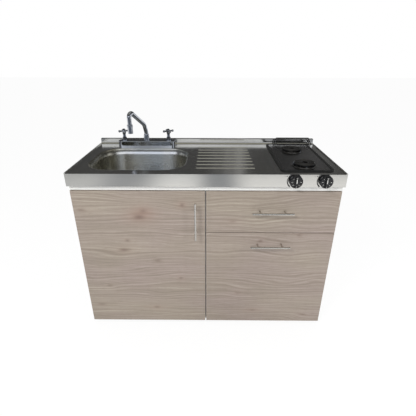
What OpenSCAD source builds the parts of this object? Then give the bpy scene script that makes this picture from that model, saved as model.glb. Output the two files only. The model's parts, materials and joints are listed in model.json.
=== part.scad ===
// Kitchenette unit: base cabinet with a pressed steel top, bowl, tap and two-ring electric hob.
// Millimetres. The front looks towards -Y, the floor is z = 0, and x = 0 is the middle of the unit.
// Sizes marked "from the front" start at the face of the steel apron.

/* [Worktop] */
// Width of the steel top
worktop_w = 1200; // [1150:5:1400]
// Depth of the steel top, apron to wall
worktop_d = 550; // [540:5:650]
// Height of the deck above the floor
worktop_h = 850; // [820:5:920]
// Height of the folded apron
apron_h = 57; // [50:1:64]
// Thickness of the pressed steel
sheet_t = 1.2; // [0.8:0.1:2]
// Thickness of the board under the steel
board_t = 16; // [12:1:22]
// Height of the upstand at the back
upstand_h = 25; // [15:1:50]
// Depth of the upstand from front to back
upstand_t = 20; // [12:1:24]
// Radius of the cove at the foot of the upstand
cove_r = 8; // [3:1:8]
// Height of the rolled rim at each side
rim_h = 5; // [3:1:8]
// Width of the rolled rim at each side
rim_w = 6; // [4:1:10]

/* [Bowl] */
// Side of the bowl, from the left edge of the top
bowl_left = 55; // [50:1:60]
// Width of the bowl at its rim
bowl_w = 455; // [380:5:470]
// Front of the bowl, from the front
bowl_front = 52; // [46:1:60]
// Back of the bowl, from the wall side
bowl_back = 137; // [132:1:180]
// Drop from the deck to the floor of the bowl
bowl_depth = 160; // [120:5:180]
// Corner radius of the bowl seen from above
bowl_corner_r = 110; // [60:5:140]
// Radius between the walls and the floor
bowl_floor_r = 30; // [10:1:40]
// Width of the flange welded under the deck
bowl_flange = 8; // [4:1:8]

/* [Drainer] */
// Plain strip between the bowl and the ribs
drainer_gap = 50; // [30:1:70]
// Plain strip between the ribs and the hob
rib_hob_gap = 113; // [60:1:150]
// Number of ribs
rib_count = 8; // [4:1:8]
// Spacing of the ribs
rib_pitch = 50; // [30:1:54]
// First rib, from the front
rib_front = 85; // [60:1:90]
// Radius of the rounded top of a rib
rib_r = 10; // [6:1:12]
// Height of a rib above the deck
rib_h = 2.5; // [1:0.5:4]

/* [Hob] */
// Side of the hob, from the right edge of the top
hob_right = 40; // [30:1:50]
// Width of the hob over its seal
hob_w = 232; // [215:1:238]
// Front of the hob, from the front
hob_front = 36; // [34:1:44]
// Back of the hob, from the wall side
hob_back = 43; // [40:1:60]
// Corner radius of the hob
hob_corner_r = 28; // [22:1:34]
// Width of the seal that shows round the plate
seal_w = 12; // [8:0.5:13]
// Height of the seal above the deck
seal_h = 5; // [4.5:0.5:7]
// Thickness of the seal under the plate
seal_t = 2; // [1:0.5:3]
// Thickness of the hob plate
plate_t = 2; // [1:0.5:2.5]
// Front burner, from the front edge of the hob
burner_front = 84; // [80:1:96]
// Rear burner, from the back edge of the hob
burner_back = 142; // [136:1:155]
// Depth of the box under the plate
burner_box_h = 60; // [50:1:70]
// Margin from the seal to the box under the plate
burner_box_margin = 4; // [4:0.5:7]

/* [Spiral element] */
// Outside diameter of the spiral
coil_d = 100; // [96:1:106]
// Diameter of the element tube
coil_tube_d = 6.6; // [5:0.2:6.8]
// Radius at which the spiral starts
coil_core_r = 14.4; // [13:0.2:17]
// Height of the spider that carries the spiral
spider_h = 7.6; // [6:0.1:9]
// Spacing of the two legs of the spiral
coil_leg_pitch = 14; // [13:0.5:20]

/* [Controls] */
// Diameter of a knob
knob_d = 56; // [44:1:56]
// How far a knob stands out from the apron
knob_l = 28; // [20:1:40]
// Spacing of the knobs
knob_pitch = 127; // [100:1:140]
// Right knob, from the right edge of the top
knob_right = 91; // [70:1:110]
// Drop from the deck to the middle of the knobs
knob_drop = 27; // [26:0.5:30]
// Diameter of the knob spindle
spindle_d = 6; // [5:0.5:8]

/* [Tap] */
// Middle of the tap, from the left edge of the top
tap_left = 272; // [230:1:320]
// Middle of the tap, from the wall side
tap_back = 83; // [70:1:90]
// Width of the tap body
tap_w = 308; // [290:1:340]
// Depth of the tap body
tap_d = 52; // [46:1:56]
// Height of the tap body
tap_h = 32; // [28:1:40]
// Spacing of the two valves
valve_pitch = 240; // [180:1:250]
// Diameter of the spout tube
spout_d = 22; // [18:1:24]
// Bore of the spout tube
spout_bore = 18; // [10:1:19]
// Turn of the spout to the left of straight ahead
spout_yaw = 22; // [0:1:60]
// Straight length of the sloping part of the spout
spout_slope_l = 110; // [80:1:140]
// Straight length of the leg that points down
spout_drop_l = 73; // [50:1:75]
// Diameter of the aerator sleeve
aerator_d = 26; // [25:0.5:30]
// Length of the aerator sleeve
aerator_l = 42; // [20:1:50]
// Reach of a cross handle's arm
cross_reach = 31; // [24:1:36]
// Turn of the cross handles at rest
cross_yaw = 27; // [0:1:90]

/* [Cabinet] */
// Overhang of the top beyond each side of the cabinet
side_overhang = 4; // [3:0.5:8]
// Gap from the back of the cabinet to the wall line
wall_gap = 5; // [3:0.5:10]
// Thickness of the cabinet panels
panel_t = 16; // [15:1:19]
// Thickness of the back
back_t = 5; // [3:0.5:8]
// Height of the feet
foot_h = 22; // [18:1:60]
// Height of the white rail that shows under the apron
rail_show = 23; // [15:1:30]
// Lap of the white rail behind the apron
rail_lap = 5; // [2:1:8]
// Width of the service opening in the back
service_w = 320; // [200:5:400]
// Height of the service opening in the back
service_h = 200; // [120:5:260]
// Middle of the service opening above the floor
service_z = 620; // [560:5:640]

/* [Fronts] */
// Thickness of the door and drawer fronts
front_t = 16; // [16:0.5:19]
// Fronts, from the face of the apron
front_setback = 15; // [8:0.5:20]
// Gap between the fronts and the cabinet
front_gap = 3; // [3:0.1:4]
// Gap between one front and the next
front_reveal = 3; // [2:0.5:4]
// Gap between the door and the drawers
centre_gap = 5; // [3:0.5:8]
// Bottom edge of the fronts above the feet
front_lift = 2; // [1:0.5:6]
// Height of the top drawer front
top_front_h = 205; // [180:1:240]

/* [Handles] */
// Length of a bar handle
handle_l = 184; // [160:1:220]
// Spacing of a handle's posts
handle_pitch = 112; // [96:1:128]
// Diameter of the bar
handle_bar_d = 10; // [8:0.5:14]
// Diameter of a post
handle_post_d = 8; // [7:0.5:10]
// From the face of a front to the middle of the bar
handle_stand = 32; // [25:1:40]
// Diameter of a handle screw
screw_d = 4; // [3:0.5:5]
// Door handle, from the free edge of the door
door_handle_in = 43; // [30:1:60]
// Top end of the door handle, from the top of the door
door_handle_drop = 47; // [30:1:120]
// Drawer handle, from the top of the top drawer
top_handle_drop = 96; // [75:1:105]
// Deep drawer handle, from the top of the deep drawer
lower_handle_drop = 61; // [45:1:75]

/* [Hinges] */
// Hinge axis, from the outer edge of the door
pivot_in = 7; // [6:0.1:7]
// Hinge axis, from the back face of the door
pivot_deep = 8; // [8:0.1:9]
// Diameter of the cup
cup_d = 35; // [34:0.5:36]
// Depth of the cup
cup_depth = 12; // [11.8:0.1:13]
// Wood left between the cup and the edge of the door
cup_edge = 3; // [2.8:0.1:3]
// Hinges, from the ends of the door
hinge_end = 90; // [70:1:140]

/* [Drawers] */
// Length of the drawer boxes
drawer_l = 450; // [400:5:460]
// Travel of the drawers
drawer_travel = 350; // [280:5:360]
// Thickness of the drawer box walls
box_t = 12; // [10:1:16]
// Thickness of the drawer bottoms
bottom_t = 5; // [3:0.5:8]
// Height of the top drawer box
top_box_h = 120; // [110:1:130]
// Top drawer box, from the bottom of its front
top_box_lift = 28; // [15:1:35]
// Height of the deep drawer box
lower_box_h = 400; // [300:5:410]
// Deep drawer box, from the bottom of its front
lower_box_lift = 34; // [30:1:40]
// Width that a runner takes up
runner_t = 12.7; // [12.5:0.1:14]
// Height of a runner
runner_h = 42; // [38:1:46]
// Radius of the runner balls
ball_r = 3; // [2.5:0.1:3]
// Number of balls in a strip
ball_count = 4; // [2:1:5]

/* [Waste] */
// Bore of the hole in the bowl
waste_hole_d = 90; // [84:1:96]
// Depth of the strainer body below the bowl
strainer_depth = 65; // [55:1:80]
// Diameter of the tailpiece
tail_d = 38; // [32:1:40]
// Length of the tailpiece
tail_l = 140; // [80:5:200]

/* [Fits] */
// Gap that a resting or loosely held piece keeps
seat_gap = 0.3; // [0.2:0.05:0.4]
// Radial clearance of a turning fit
run_gap = 0.05; // [0.02:0.01:0.08]

/* [Hidden] */
$fn = 64;
through = 1;
// Bends of a tube are a hair thicker than its straights
bend_swell = 0.1;

// Colours
steel = [0.62, 0.62, 0.61];
chrome = [0.80, 0.82, 0.85];
satin = [0.70, 0.69, 0.67];
white = [0.90, 0.90, 0.89];
oak = [0.66, 0.61, 0.56];
black = [0.06, 0.06, 0.07];
zinc = [0.66, 0.68, 0.70];
board_tone = [0.72, 0.62, 0.48];

// The frame's origin stands under the middle of the whole box, knobs included
left_x = -worktop_w / 2;
right_x = worktop_w / 2;
origin_y = (worktop_d - max(knob_l, handle_stand + handle_bar_d / 2 - front_setback)) / 2;

// Worktop
deck_z = worktop_h;
under_z = deck_z - sheet_t;
board_z = under_z - board_t;
apron_z = deck_z - apron_h;

// Bowl
bowl_x = left_x + bowl_left + bowl_w / 2;
bowl_d = worktop_d - bowl_front - bowl_back;
bowl_y = bowl_front + bowl_d / 2;
bowl_floor_z = deck_z - bowl_depth;
flange_clear = 1;

// Drainer
rib_x = left_x + bowl_left + bowl_w + drainer_gap;
rib_l = right_x - hob_right - hob_w - rib_hob_gap - rib_x;

// Hob, heights above the deck
hob_x = right_x - hob_right - hob_w / 2;
hob_d = worktop_d - hob_front - hob_back;
hob_y = hob_front + hob_d / 2;
seal_lip = 5;
plate_low = seal_t;
plate_top = seal_t + plate_t;
plate_edge = seal_w + seat_gap;
burner_box_inset = seal_w + seal_lip + burner_box_margin;
burner_box_w = hob_w - 2 * burner_box_inset;
burner_box_d = hob_d - 2 * burner_box_inset;
burner_box_t = 1;
cutout_clear = 3;
burner_y = [hob_front + burner_front, hob_front + hob_d - burner_back];

// Pan, ring, spider and spiral of a burner, heights above the hob plate
pan_lip_t = 0.8;
pan_lip_w = 10;
pan_r = coil_d / 2 - 2;
pan_out_r = pan_r + pan_lip_w;
pan_depth = 18;
pan_hole_r = 12;
pan_clear = 3;
ring_r = pan_out_r - 5;
ring_tube_r = 3.5;
ring_h = 2.8;
spider_reach = coil_d / 2 + 0.4;
spider_t = 2;
spider_hub_r = 8;
spider_hub_h = 3.6;
spider_cap_h = 1.6;
coil_tube_r = coil_tube_d / 2;
coil_z = pan_lip_t + spider_h + seat_gap + coil_tube_r;
coil_leg_z = -7;
coil_start = 120;
coil_end = 74 + 4 * 360;
coil_end_r = coil_d / 2 - coil_tube_r;
coil_leg_end = coil_d / 2 + 24;
rings_per_loop = 24;
terminal_l = 20;
terminal_w = coil_leg_pitch + 16;
terminal_y = coil_leg_end - terminal_l / 2;
terminal_slack = 0.3;

// Controls
knob_x = [right_x - knob_right - knob_pitch, right_x - knob_right];
knob_z = deck_z - knob_drop;
switch_w = 34;
switch_l = 25;
switch_bay = 4;
knob_neck_l = 4;
knob_neck_in = 9;
knob_flare = 3;
knob_bevel = 3;
knob_grip_h = 7;
grip_w = 12;

// Tap
tap_x = left_x + tap_left;
tap_y = worktop_d - tap_back;
tap_corner_r = tap_d / 2 - 2;
tap_edge_r = 4;
cross_ball_r = 6.5;
cross_arm_r = 4.6;
waterway_r = 7;
aerator_ring_h = 11;
waterway_z = tap_h / 2;
spout_r = spout_d / 2;
spout_foot = 17;
collar_h = 34;
bonnet_h = 32;
bonnet_flange_r = 16;
bonnet_flange_h = 4;
bonnet_foot_r = 12;
bonnet_belly_r = 13;
bonnet_belly_z = 11;
bonnet_neck_r = 9;
bonnet_neck_z = 20;
bonnet_top_r = 8;
bonnet_screw_r = 9;
bonnet_screw_l = 12;
stem_r = 5;
cross_z = 50;
shank_r = 10.48;
shank_seat_r = 11;
shank_seat_h = 8;
shank_chamfer = 1;
shank_bore_r = 6.5;
shank_l = 55;
shank_nut_r = 22;
shank_nut_h = 5;
shank_clear = 4;

// Cabinet
cabinet_w = worktop_w - 2 * side_overhang;
cabinet_left = -cabinet_w / 2;
cabinet_right = cabinet_w / 2;
carcass_front = front_setback + front_t + front_gap;
carcass_back = worktop_d - wall_gap;
floor_z = foot_h + panel_t;
rail_z = apron_z - rail_show;
foot_in_x = 56;
foot_in_y = 50;
foot_stud_r = 4;
foot_stud_l = 12;
stretcher_h = 80;
gland_drop = stretcher_h + 30;

// Guard behind the hob: three bent wires, one inside the next, on a foot strip
guard_shift = 34;
guard_reach = 108;
guard_rise = 33.5;
guard_step_in = 10;
guard_step_down = 12;
guard_lean = 29;
guard_wire_r = 2.2;
guard_bend_r = 6;
guard_wire_low = 1.2;
guard_strip_w = 8;
guard_strip_t = 2;
guard_strip_end = 5;
guard_y = worktop_d - upstand_t - cove_r - guard_strip_w / 2 - 1;

// Fronts
fronts_low = foot_h + front_lift;
fronts_high = rail_z - front_reveal;
front_back = front_setback + front_t;
door_right = -centre_gap / 2;
drawer_left = centre_gap / 2;
top_front_low = fronts_high - top_front_h;
lower_front_high = top_front_low - front_reveal;
screw_clear = 0.3;
screw_head_h = 2.4;
handle_screw_in = 12;

// Hinges
pivot_x = cabinet_left + pivot_in;
pivot_y = front_back - pivot_deep;
cup_x = cabinet_left + cup_edge + cup_d / 2;
cup_wall = 0.7;
cup_plate_t = 1.2;
pin_r = 1.25;
knuckle_r = 2.4;
knuckle_h = 5.4;
ear_t = 2.2;
ear_r = 2.8;
ear_w = 6.4;
arm_t = 3;
arm_plate = [18, 56];
arm_plate_h = 50;
arm_body = [16, 54];
arm_body_h = 16;
arm_hook_in = 7;
arm_hook_t = 5;
arm_hook_l = 20;
hinge_z = [fronts_low + hinge_end, fronts_high - hinge_end];

// Drawers
bay_left = panel_t / 2;
bay_right = cabinet_right - panel_t;
drawer_x = (bay_left + bay_right) / 2;
box_left = bay_left + runner_t;
box_right = bay_right - runner_t;
box_back = front_back + drawer_l;
groove = 6;
groove_up = 10;
runner_steel = 1.2;
race = 2 * ball_r + 2 * seat_gap;
race_x = runner_steel + race / 2;
race_z = runner_h / 2 - runner_steel - race / 2;
strip_l = drawer_l - drawer_travel - 4;
strip_front = carcass_front + 2 + drawer_travel / 2;
ball_pitch = strip_l / ball_count;
top_box_low = top_front_low + top_box_lift;
lower_box_low = fronts_low + lower_box_lift;
top_runner_z = top_box_low + top_box_h / 2;
lower_runner_z = lower_box_low + 70;

// Waste
waste_r = waste_hole_d / 2 - 2;
waste_wall = 2;
waste_flange = 12;
waste_flange_t = 1.6;
tail_r = tail_d / 2;
tail_wall = 1.5;
tail_collar = 1;
tail_in = 8;
socket_r = tail_r + tail_collar;
socket_h = 10;
strainer_cone_h = 10;
basket_h = 30;
basket_wall = 1;
waste_nut_h = 10;
waste_washer_h = 2;
waste_lug_w = 8;

// ---------------------------------------------------------------- shapes that repeat

// A block given by its low and high corners
module block(low, high) {
    translate(low) cube(high - low);
}

// A round bar from one point to another
module rod(from, to, r) {
    run = to - from;
    translate(from)
        rotate([0, acos(run[2] / norm(run)), atan2(run[1], run[0])])
            cylinder(r = r, h = norm(run));
}

// A rectangle with round corners about the origin
module round_rect(w, d, r) {
    square([w - 2 * r, d], center = true);
    square([w, d - 2 * r], center = true);
    for (x = [-1, 1], y = [-1, 1])
        translate([x * (w / 2 - r), y * (d / 2 - r)]) circle(r);
}

// A ring of the same width all round a rounded rectangle
module round_frame(w, d, r, band) {
    difference() {
        round_rect(w, d, r);
        round_rect(w - 2 * band, d - 2 * band, r - band);
    }
}

// Section of a tub: upright walls and round lower corners, standing on y = 0
module tub_section(w, h, r) {
    translate([-w / 2, r]) square([w, h - r]);
    translate([-w / 2 + r, 0]) square([w - 2 * r, h]);
    for (x = [-1, 1]) translate([x * (w / 2 - r), r]) circle(r);
}

// Solid tub, its top at z = 0, round in plan at its corners and along its floor
module tub(w, d, h, corner_r, floor_r) {
    translate([0, 0, -h]) {
        for (x = [-1, 1], y = [-1, 1])
            translate([x * (w / 2 - corner_r), y * (d / 2 - corner_r), 0])
                rotate_extrude() intersection() {
                    tub_section(2 * corner_r, h, floor_r);
                    square([corner_r, h]);
                }
        rotate([90, 0, 0]) linear_extrude(d - 2 * corner_r, center = true) tub_section(w, h, floor_r);
        rotate([90, 0, 90]) linear_extrude(w - 2 * corner_r, center = true) tub_section(d, h, floor_r);
    }
}

// Runs an outline in x and z along y
module along_y(from, to) {
    translate([0, to, 0]) rotate([90, 0, 0]) linear_extrude(to - from) children();
}

// Runs an outline in y and z along x
module along_x(from, to) {
    translate([from, 0, 0]) rotate([90, 0, 90]) linear_extrude(to - from) children();
}

// Moves the whole unit to its frame
module in_frame() {
    translate([0, -origin_y, 0]) children();
}

// Stands something on the deck at each valve of the tap
module at_valves() {
    for (side = [-1, 1]) translate([tap_x + side * valve_pitch / 2, tap_y, deck_z]) children();
}

// Puts something on the hob plate at a burner; the rear burner's legs point forward
module at_burner(index) {
    translate([hob_x, burner_y[index], deck_z + plate_top]) rotate(180 * index) children();
}

// Sets the left-hand copy and the mirrored right-hand copy of a runner
module both_runners(z) {
    translate([bay_left, 0, z]) children();
    translate([bay_right, 0, z]) mirror([1, 0, 0]) children();
}

// ---------------------------------------------------------------- tubes that follow a path

function unit(v) = v / norm(v);
function bezier(a, b, c, d, t) =
    pow(1 - t, 3) * a + 3 * t * pow(1 - t, 2) * b + 3 * t * t * (1 - t) * c + pow(t, 3) * d;
function headings(path) =
    [for (i = [0 : len(path) - 1]) unit(path[min(i + 1, len(path) - 1)] - path[max(i - 1, 0)])];
function square_to(v, heading) = unit(v - (v * heading) * heading);
// Carries one direction along the path without twist
function carried(heads, start) =
    [for (i = 0, n = square_to(start, heads[0]); i < len(heads);
          i = i + 1, n = i < len(heads) ? square_to(n, heads[i]) : n) n];
// Least distance between the skins of stretches of a tube that aren't next to each other
function self_gap(path, r, skip) =
    min([for (i = [0 : len(path) - 1 - skip], j = [i + skip : len(path) - 1]) norm(path[i] - path[j])]) - 2 * r;

// One unbroken tube with six sides, a ring at each point of the path
module swept_tube(path, r, start) {
    sides = 6;
    heads = headings(path);
    normals = carried(heads, start);
    count = len(path);
    points = [for (i = [0 : count - 1], s = [0 : sides - 1])
        path[i] + r * (cos(360 * s / sides) * normals[i] + sin(360 * s / sides) * cross(heads[i], normals[i]))];
    skin = [for (i = [0 : count - 2], s = [0 : sides - 1], half = [0, 1])
        let (a = i * sides + s, b = i * sides + (s + 1) % sides)
            half == 0 ? [a, a + sides, b + sides] : [a, b + sides, b]];
    first_cap = [for (s = [1 : sides - 2]) [0, s, s + 1]];
    last = (count - 1) * sides;
    last_cap = [for (s = [1 : sides - 2]) [last, last + s + 1, last + s]];
    polyhedron(points = points, faces = concat(skin, first_cap, last_cap));
}

// A pipe of straights and bends laid end to end in the xz plane; each step is
// [length of the straight, angle of the bend after it, radius of that bend]
module pipe(steps, r, index = 0) {
    step = steps[index];
    cylinder(r = r, h = step[0]);
    if (index + 1 < len(steps))
        translate([0, 0, step[0]]) {
            translate([step[2], 0, 0]) rotate([90, 0, 180])
                rotate_extrude(angle = step[1]) translate([step[2], 0]) circle(r + bend_swell);
            translate([step[2], 0, 0]) rotate([0, step[1], 0]) translate([-step[2], 0, 0])
                pipe(steps, r, index + 1);
        }
}

// ---------------------------------------------------------------- worktop and bowl

module upstand_section() {
    foot = worktop_d - upstand_t;
    translate([foot, deck_z - sheet_t]) square([upstand_t, upstand_h + sheet_t]);
    difference() {
        translate([foot - cove_r, deck_z - sheet_t / 2]) square([cove_r, cove_r + sheet_t / 2]);
        translate([foot - cove_r, deck_z + cove_r]) circle(cove_r);
    }
}

module drainer_ribs() {
    for (i = [0 : rib_count - 1])
        translate([rib_x, rib_front + i * rib_pitch, deck_z + rib_h - rib_r]) {
            sphere(rib_r);
            rotate([0, 90, 0]) cylinder(r = rib_r, h = rib_l);
            translate([rib_l, 0, 0]) sphere(rib_r);
        }
}

module side_rim(x) {
    translate([x, 0, deck_z - sheet_t / 2]) {
        cube([rim_w, worktop_d - upstand_t, rim_h - rim_w / 2 + sheet_t / 2]);
        translate([rim_w / 2, 0, rim_h - rim_w / 2 + sheet_t / 2]) rotate([-90, 0, 0])
            cylinder(r = rim_w / 2, h = worktop_d - upstand_t);
    }
}

module hob_cutout(low, high, clear) {
    block(
        [hob_x - burner_box_w / 2 - clear, hob_y - burner_box_d / 2 - clear, low],
        [hob_x + burner_box_w / 2 + clear, hob_y + burner_box_d / 2 + clear, high]
    );
}

module worktop() color(steel) in_frame() difference() {
    union() {
        block([left_x, 0, apron_z], [right_x, worktop_d, deck_z]);
        along_x(left_x, right_x) upstand_section();
        side_rim(left_x);
        side_rim(right_x - rim_w);
        drainer_ribs();
    }
    block([left_x + sheet_t, sheet_t, apron_z - through], [right_x - sheet_t, worktop_d - sheet_t, under_z]);
    block(
        [left_x + sheet_t, worktop_d - upstand_t + sheet_t, under_z - through],
        [right_x - sheet_t, worktop_d - sheet_t, deck_z + upstand_h - sheet_t]
    );
    translate([bowl_x, bowl_y, under_z - through]) linear_extrude(sheet_t + 2 * through)
        round_rect(bowl_w, bowl_d, bowl_corner_r);
    hob_cutout(under_z - through, deck_z + through, cutout_clear);
    at_valves() translate([0, 0, -sheet_t - through])
        cylinder(r = shank_seat_r + seat_gap, h = sheet_t + 2 * through);
    for (x = knob_x) translate([x, sheet_t + through, knob_z]) rotate([90, 0, 0])
        cylinder(r = spindle_d / 2 + 2 + seat_gap, h = sheet_t + 2 * through);
}

module worktop_board() color(board_tone) in_frame() difference() {
    edge = sheet_t + seat_gap;
    block([left_x + edge, edge, board_z], [right_x - edge, worktop_d - edge, under_z]);
    translate([bowl_x, bowl_y, board_z - through]) linear_extrude(board_t + 2 * through)
        round_rect(
            bowl_w + 2 * (bowl_flange + flange_clear),
            bowl_d + 2 * (bowl_flange + flange_clear),
            bowl_corner_r + bowl_flange + flange_clear
        );
    hob_cutout(board_z - through, under_z + through, cutout_clear);
    block(
        [knob_x[0] - switch_w / 2 - switch_bay, 0, board_z - through],
        [knob_x[1] + switch_w / 2 + switch_bay, sheet_t + switch_l + switch_bay, under_z + through]
    );
    at_valves() translate([0, 0, -sheet_t - board_t - through])
        cylinder(r = shank_nut_r + shank_clear, h = board_t + 2 * through);
}

module sink_bowl() color(steel) in_frame() translate([bowl_x, bowl_y, under_z]) difference() {
    union() {
        tub(bowl_w + 2 * sheet_t, bowl_d + 2 * sheet_t, bowl_depth, bowl_corner_r + sheet_t,
            bowl_floor_r + sheet_t);
        translate([0, 0, -sheet_t]) linear_extrude(sheet_t)
            round_rect(bowl_w + 2 * bowl_flange, bowl_d + 2 * bowl_flange, bowl_corner_r + bowl_flange);
    }
    tub(bowl_w, bowl_d, bowl_depth - sheet_t, bowl_corner_r, bowl_floor_r);
    translate([0, 0, -bowl_depth - through]) cylinder(d = waste_hole_d, h = 2 * through + 2 * sheet_t);
}

// ---------------------------------------------------------------- waste

// Places a turned piece on the floor of the bowl, over its hole
module at_waste() {
    translate([bowl_x, bowl_y, bowl_floor_z]) children();
}

module strainer_body() color(chrome) in_frame() at_waste() difference() {
    low = -strainer_depth;
    cone_low = low + socket_h;
    well_low = cone_low + strainer_cone_h;
    union() {
        cylinder(r = waste_r + waste_flange, h = waste_flange_t);
        translate([0, 0, well_low]) cylinder(r = waste_r, h = -well_low);
        translate([0, 0, cone_low]) cylinder(r1 = socket_r + waste_wall, r2 = waste_r, h = strainer_cone_h);
        translate([0, 0, low]) cylinder(r = socket_r + waste_wall, h = socket_h);
    }
    translate([0, 0, well_low]) cylinder(r = waste_r - waste_wall, h = -well_low + waste_flange_t + through);
    translate([0, 0, cone_low]) cylinder(r1 = tail_r, r2 = waste_r - waste_wall, h = strainer_cone_h);
    translate([0, 0, low - through]) cylinder(r = socket_r + run_gap, h = socket_h + through);
    translate([0, 0, low]) cylinder(r = tail_r, h = socket_h + through);
}

module strainer_basket() color(chrome) in_frame() at_waste() {
    rim_r = waste_r + waste_flange / 2;
    cup_r = waste_r - waste_wall - seat_gap;
    hole_r = 2.5;
    holes = 16;
    post_r = 3;
    knob_low_r = 6;
    knob_top_r = 8;
    knob_h = 7;
    translate([0, 0, waste_flange_t + seat_gap]) {
        difference() {
            union() {
                cylinder(r = rim_r, h = basket_wall);
                translate([0, 0, -basket_h]) cylinder(r = cup_r, h = basket_h);
            }
            translate([0, 0, -basket_h + basket_wall])
                cylinder(r = cup_r - basket_wall, h = basket_h + through);
            for (i = [0 : holes - 1]) rotate(360 * i / holes)
                translate([cup_r * 0.62, 0, -basket_h - through])
                    cylinder(r = hole_r, h = basket_wall + 2 * through);
        }
        translate([0, 0, -basket_h + basket_wall / 2]) cylinder(r = post_r, h = basket_h - knob_h / 2);
        translate([0, 0, basket_wall - knob_h]) cylinder(r1 = knob_low_r, r2 = knob_top_r, h = knob_h);
    }
}

module strainer_nut() color(zinc) in_frame() at_waste() translate([0, 0, -sheet_t]) difference() {
    union() {
        translate([0, 0, -waste_nut_h]) cylinder(r = waste_r + waste_flange / 2, h = waste_nut_h);
        translate([0, 0, -waste_washer_h]) cylinder(r = waste_r + waste_flange, h = waste_washer_h);
        for (i = [0 : 3]) rotate(90 * i)
            translate([-waste_lug_w / 2, -waste_r - waste_flange, -waste_nut_h])
                cube([waste_lug_w, waste_flange, waste_nut_h]);
    }
    translate([0, 0, -waste_nut_h - through]) cylinder(r = waste_r + run_gap, h = waste_nut_h + 2 * through);
}

// Tube with a collar at the top that the strainer's socket takes
module tailpiece() color(chrome) in_frame() at_waste() translate([0, 0, tail_in - strainer_depth - tail_l])
    difference() {
        collar_low = tail_l - socket_h;
        union() {
            cylinder(r = tail_r, h = tail_l);
            translate([0, 0, collar_low - tail_collar]) cylinder(r1 = tail_r, r2 = socket_r, h = tail_collar);
            translate([0, 0, collar_low]) cylinder(r = socket_r, h = socket_h);
        }
        translate([0, 0, -through]) cylinder(r = tail_r - tail_wall, h = tail_l + 2 * through);
    }

// ---------------------------------------------------------------- tap

module at_tap() {
    translate([tap_x, tap_y, deck_z]) children();
}

module faucet_base() color(chrome) in_frame() difference() {
    at_tap() mirror([0, 0, 1]) tub(tap_w, tap_d, tap_h, tap_corner_r, tap_edge_r);
    at_tap() translate([0, 0, waterway_z]) rotate([0, 90, 0])
        cylinder(r = waterway_r, h = valve_pitch, center = true);
    at_tap() translate([0, 0, waterway_z]) cylinder(r = spout_r + run_gap, h = tap_h);
    at_valves() translate([0, 0, -through]) cylinder(r = shank_bore_r, h = waterway_z + through);
    at_valves() translate([0, 0, tap_h - bonnet_screw_l]) cylinder(r = bonnet_screw_r + run_gap, h = tap_h);
}

module spout_collar() color(chrome) in_frame() at_tap() translate([0, 0, tap_h]) difference() {
    union() {
        cylinder(r = spout_r + 8, h = 5);
        translate([0, 0, 5]) cylinder(r1 = spout_r + 5, r2 = spout_r + 3, h = collar_h - 9);
        translate([0, 0, collar_h - 4]) cylinder(r1 = spout_r + 3, r2 = spout_r + 1.6, h = 4);
    }
    translate([0, 0, -through]) cylinder(r = spout_r + seat_gap, h = collar_h + 2 * through);
}

// Rise, slope and drop of the spout
function spout_steps() = [
    [tap_h - waterway_z + collar_h + 6, 19, 30],
    [28, 36, 35],
    [spout_slope_l, 125, 18],
    [spout_drop_l, 0, 0]
];

// Turns the spout's own plane to where it points at rest
module at_spout() {
    at_tap() translate([0, 0, waterway_z + seat_gap]) rotate(-90 - spout_yaw) children();
}

module spout() color(chrome) in_frame() at_spout() difference() {
    steps = spout_steps();
    last = len(steps) - 1;
    bore_steps = [for (i = [0 : last]) i == 0 || i == last ? steps[i] + [through, 0, 0] : steps[i]];
    pipe(steps, spout_r);
    translate([0, 0, -through]) pipe(bore_steps, spout_bore / 2);
}

// Lays something out from the end of a pipe
module at_pipe_end(steps, index = 0) {
    step = steps[index];
    if (index + 1 < len(steps))
        translate([step[2], 0, step[0]]) rotate([0, step[1], 0]) translate([-step[2], 0, 0])
            at_pipe_end(steps, index + 1) children();
    else
        translate([0, 0, step[0]]) children();
}

module aerator() color(chrome) in_frame() at_spout() at_pipe_end(spout_steps()) difference() {
    lip = 4;
    union() {
        translate([0, 0, lip - aerator_l]) cylinder(d = aerator_d, h = aerator_l);
        translate([0, 0, lip - aerator_l]) cylinder(d = aerator_d + 3, h = aerator_ring_h);
    }
    translate([0, 0, lip - aerator_l - through]) cylinder(r = spout_r, h = aerator_l - lip + through);
    cylinder(r = spout_bore / 2, h = lip + through);
}

module valve_bonnets() color(chrome) in_frame() at_valves() translate([0, 0, tap_h]) difference() {
    union() {
        translate([0, 0, -bonnet_screw_l]) cylinder(r = bonnet_screw_r, h = bonnet_screw_l);
        cylinder(r = bonnet_flange_r, h = bonnet_flange_h);
        translate([0, 0, bonnet_flange_h])
            cylinder(r1 = bonnet_foot_r, r2 = bonnet_belly_r, h = bonnet_belly_z - bonnet_flange_h);
        translate([0, 0, bonnet_belly_z])
            cylinder(r1 = bonnet_belly_r, r2 = bonnet_neck_r, h = bonnet_neck_z - bonnet_belly_z);
        translate([0, 0, bonnet_neck_z])
            cylinder(r1 = bonnet_neck_r, r2 = bonnet_top_r, h = bonnet_h - bonnet_neck_z);
    }
    translate([0, 0, -bonnet_screw_l - through])
        cylinder(r = stem_r + run_gap, h = bonnet_screw_l + bonnet_h + 2 * through);
}

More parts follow.
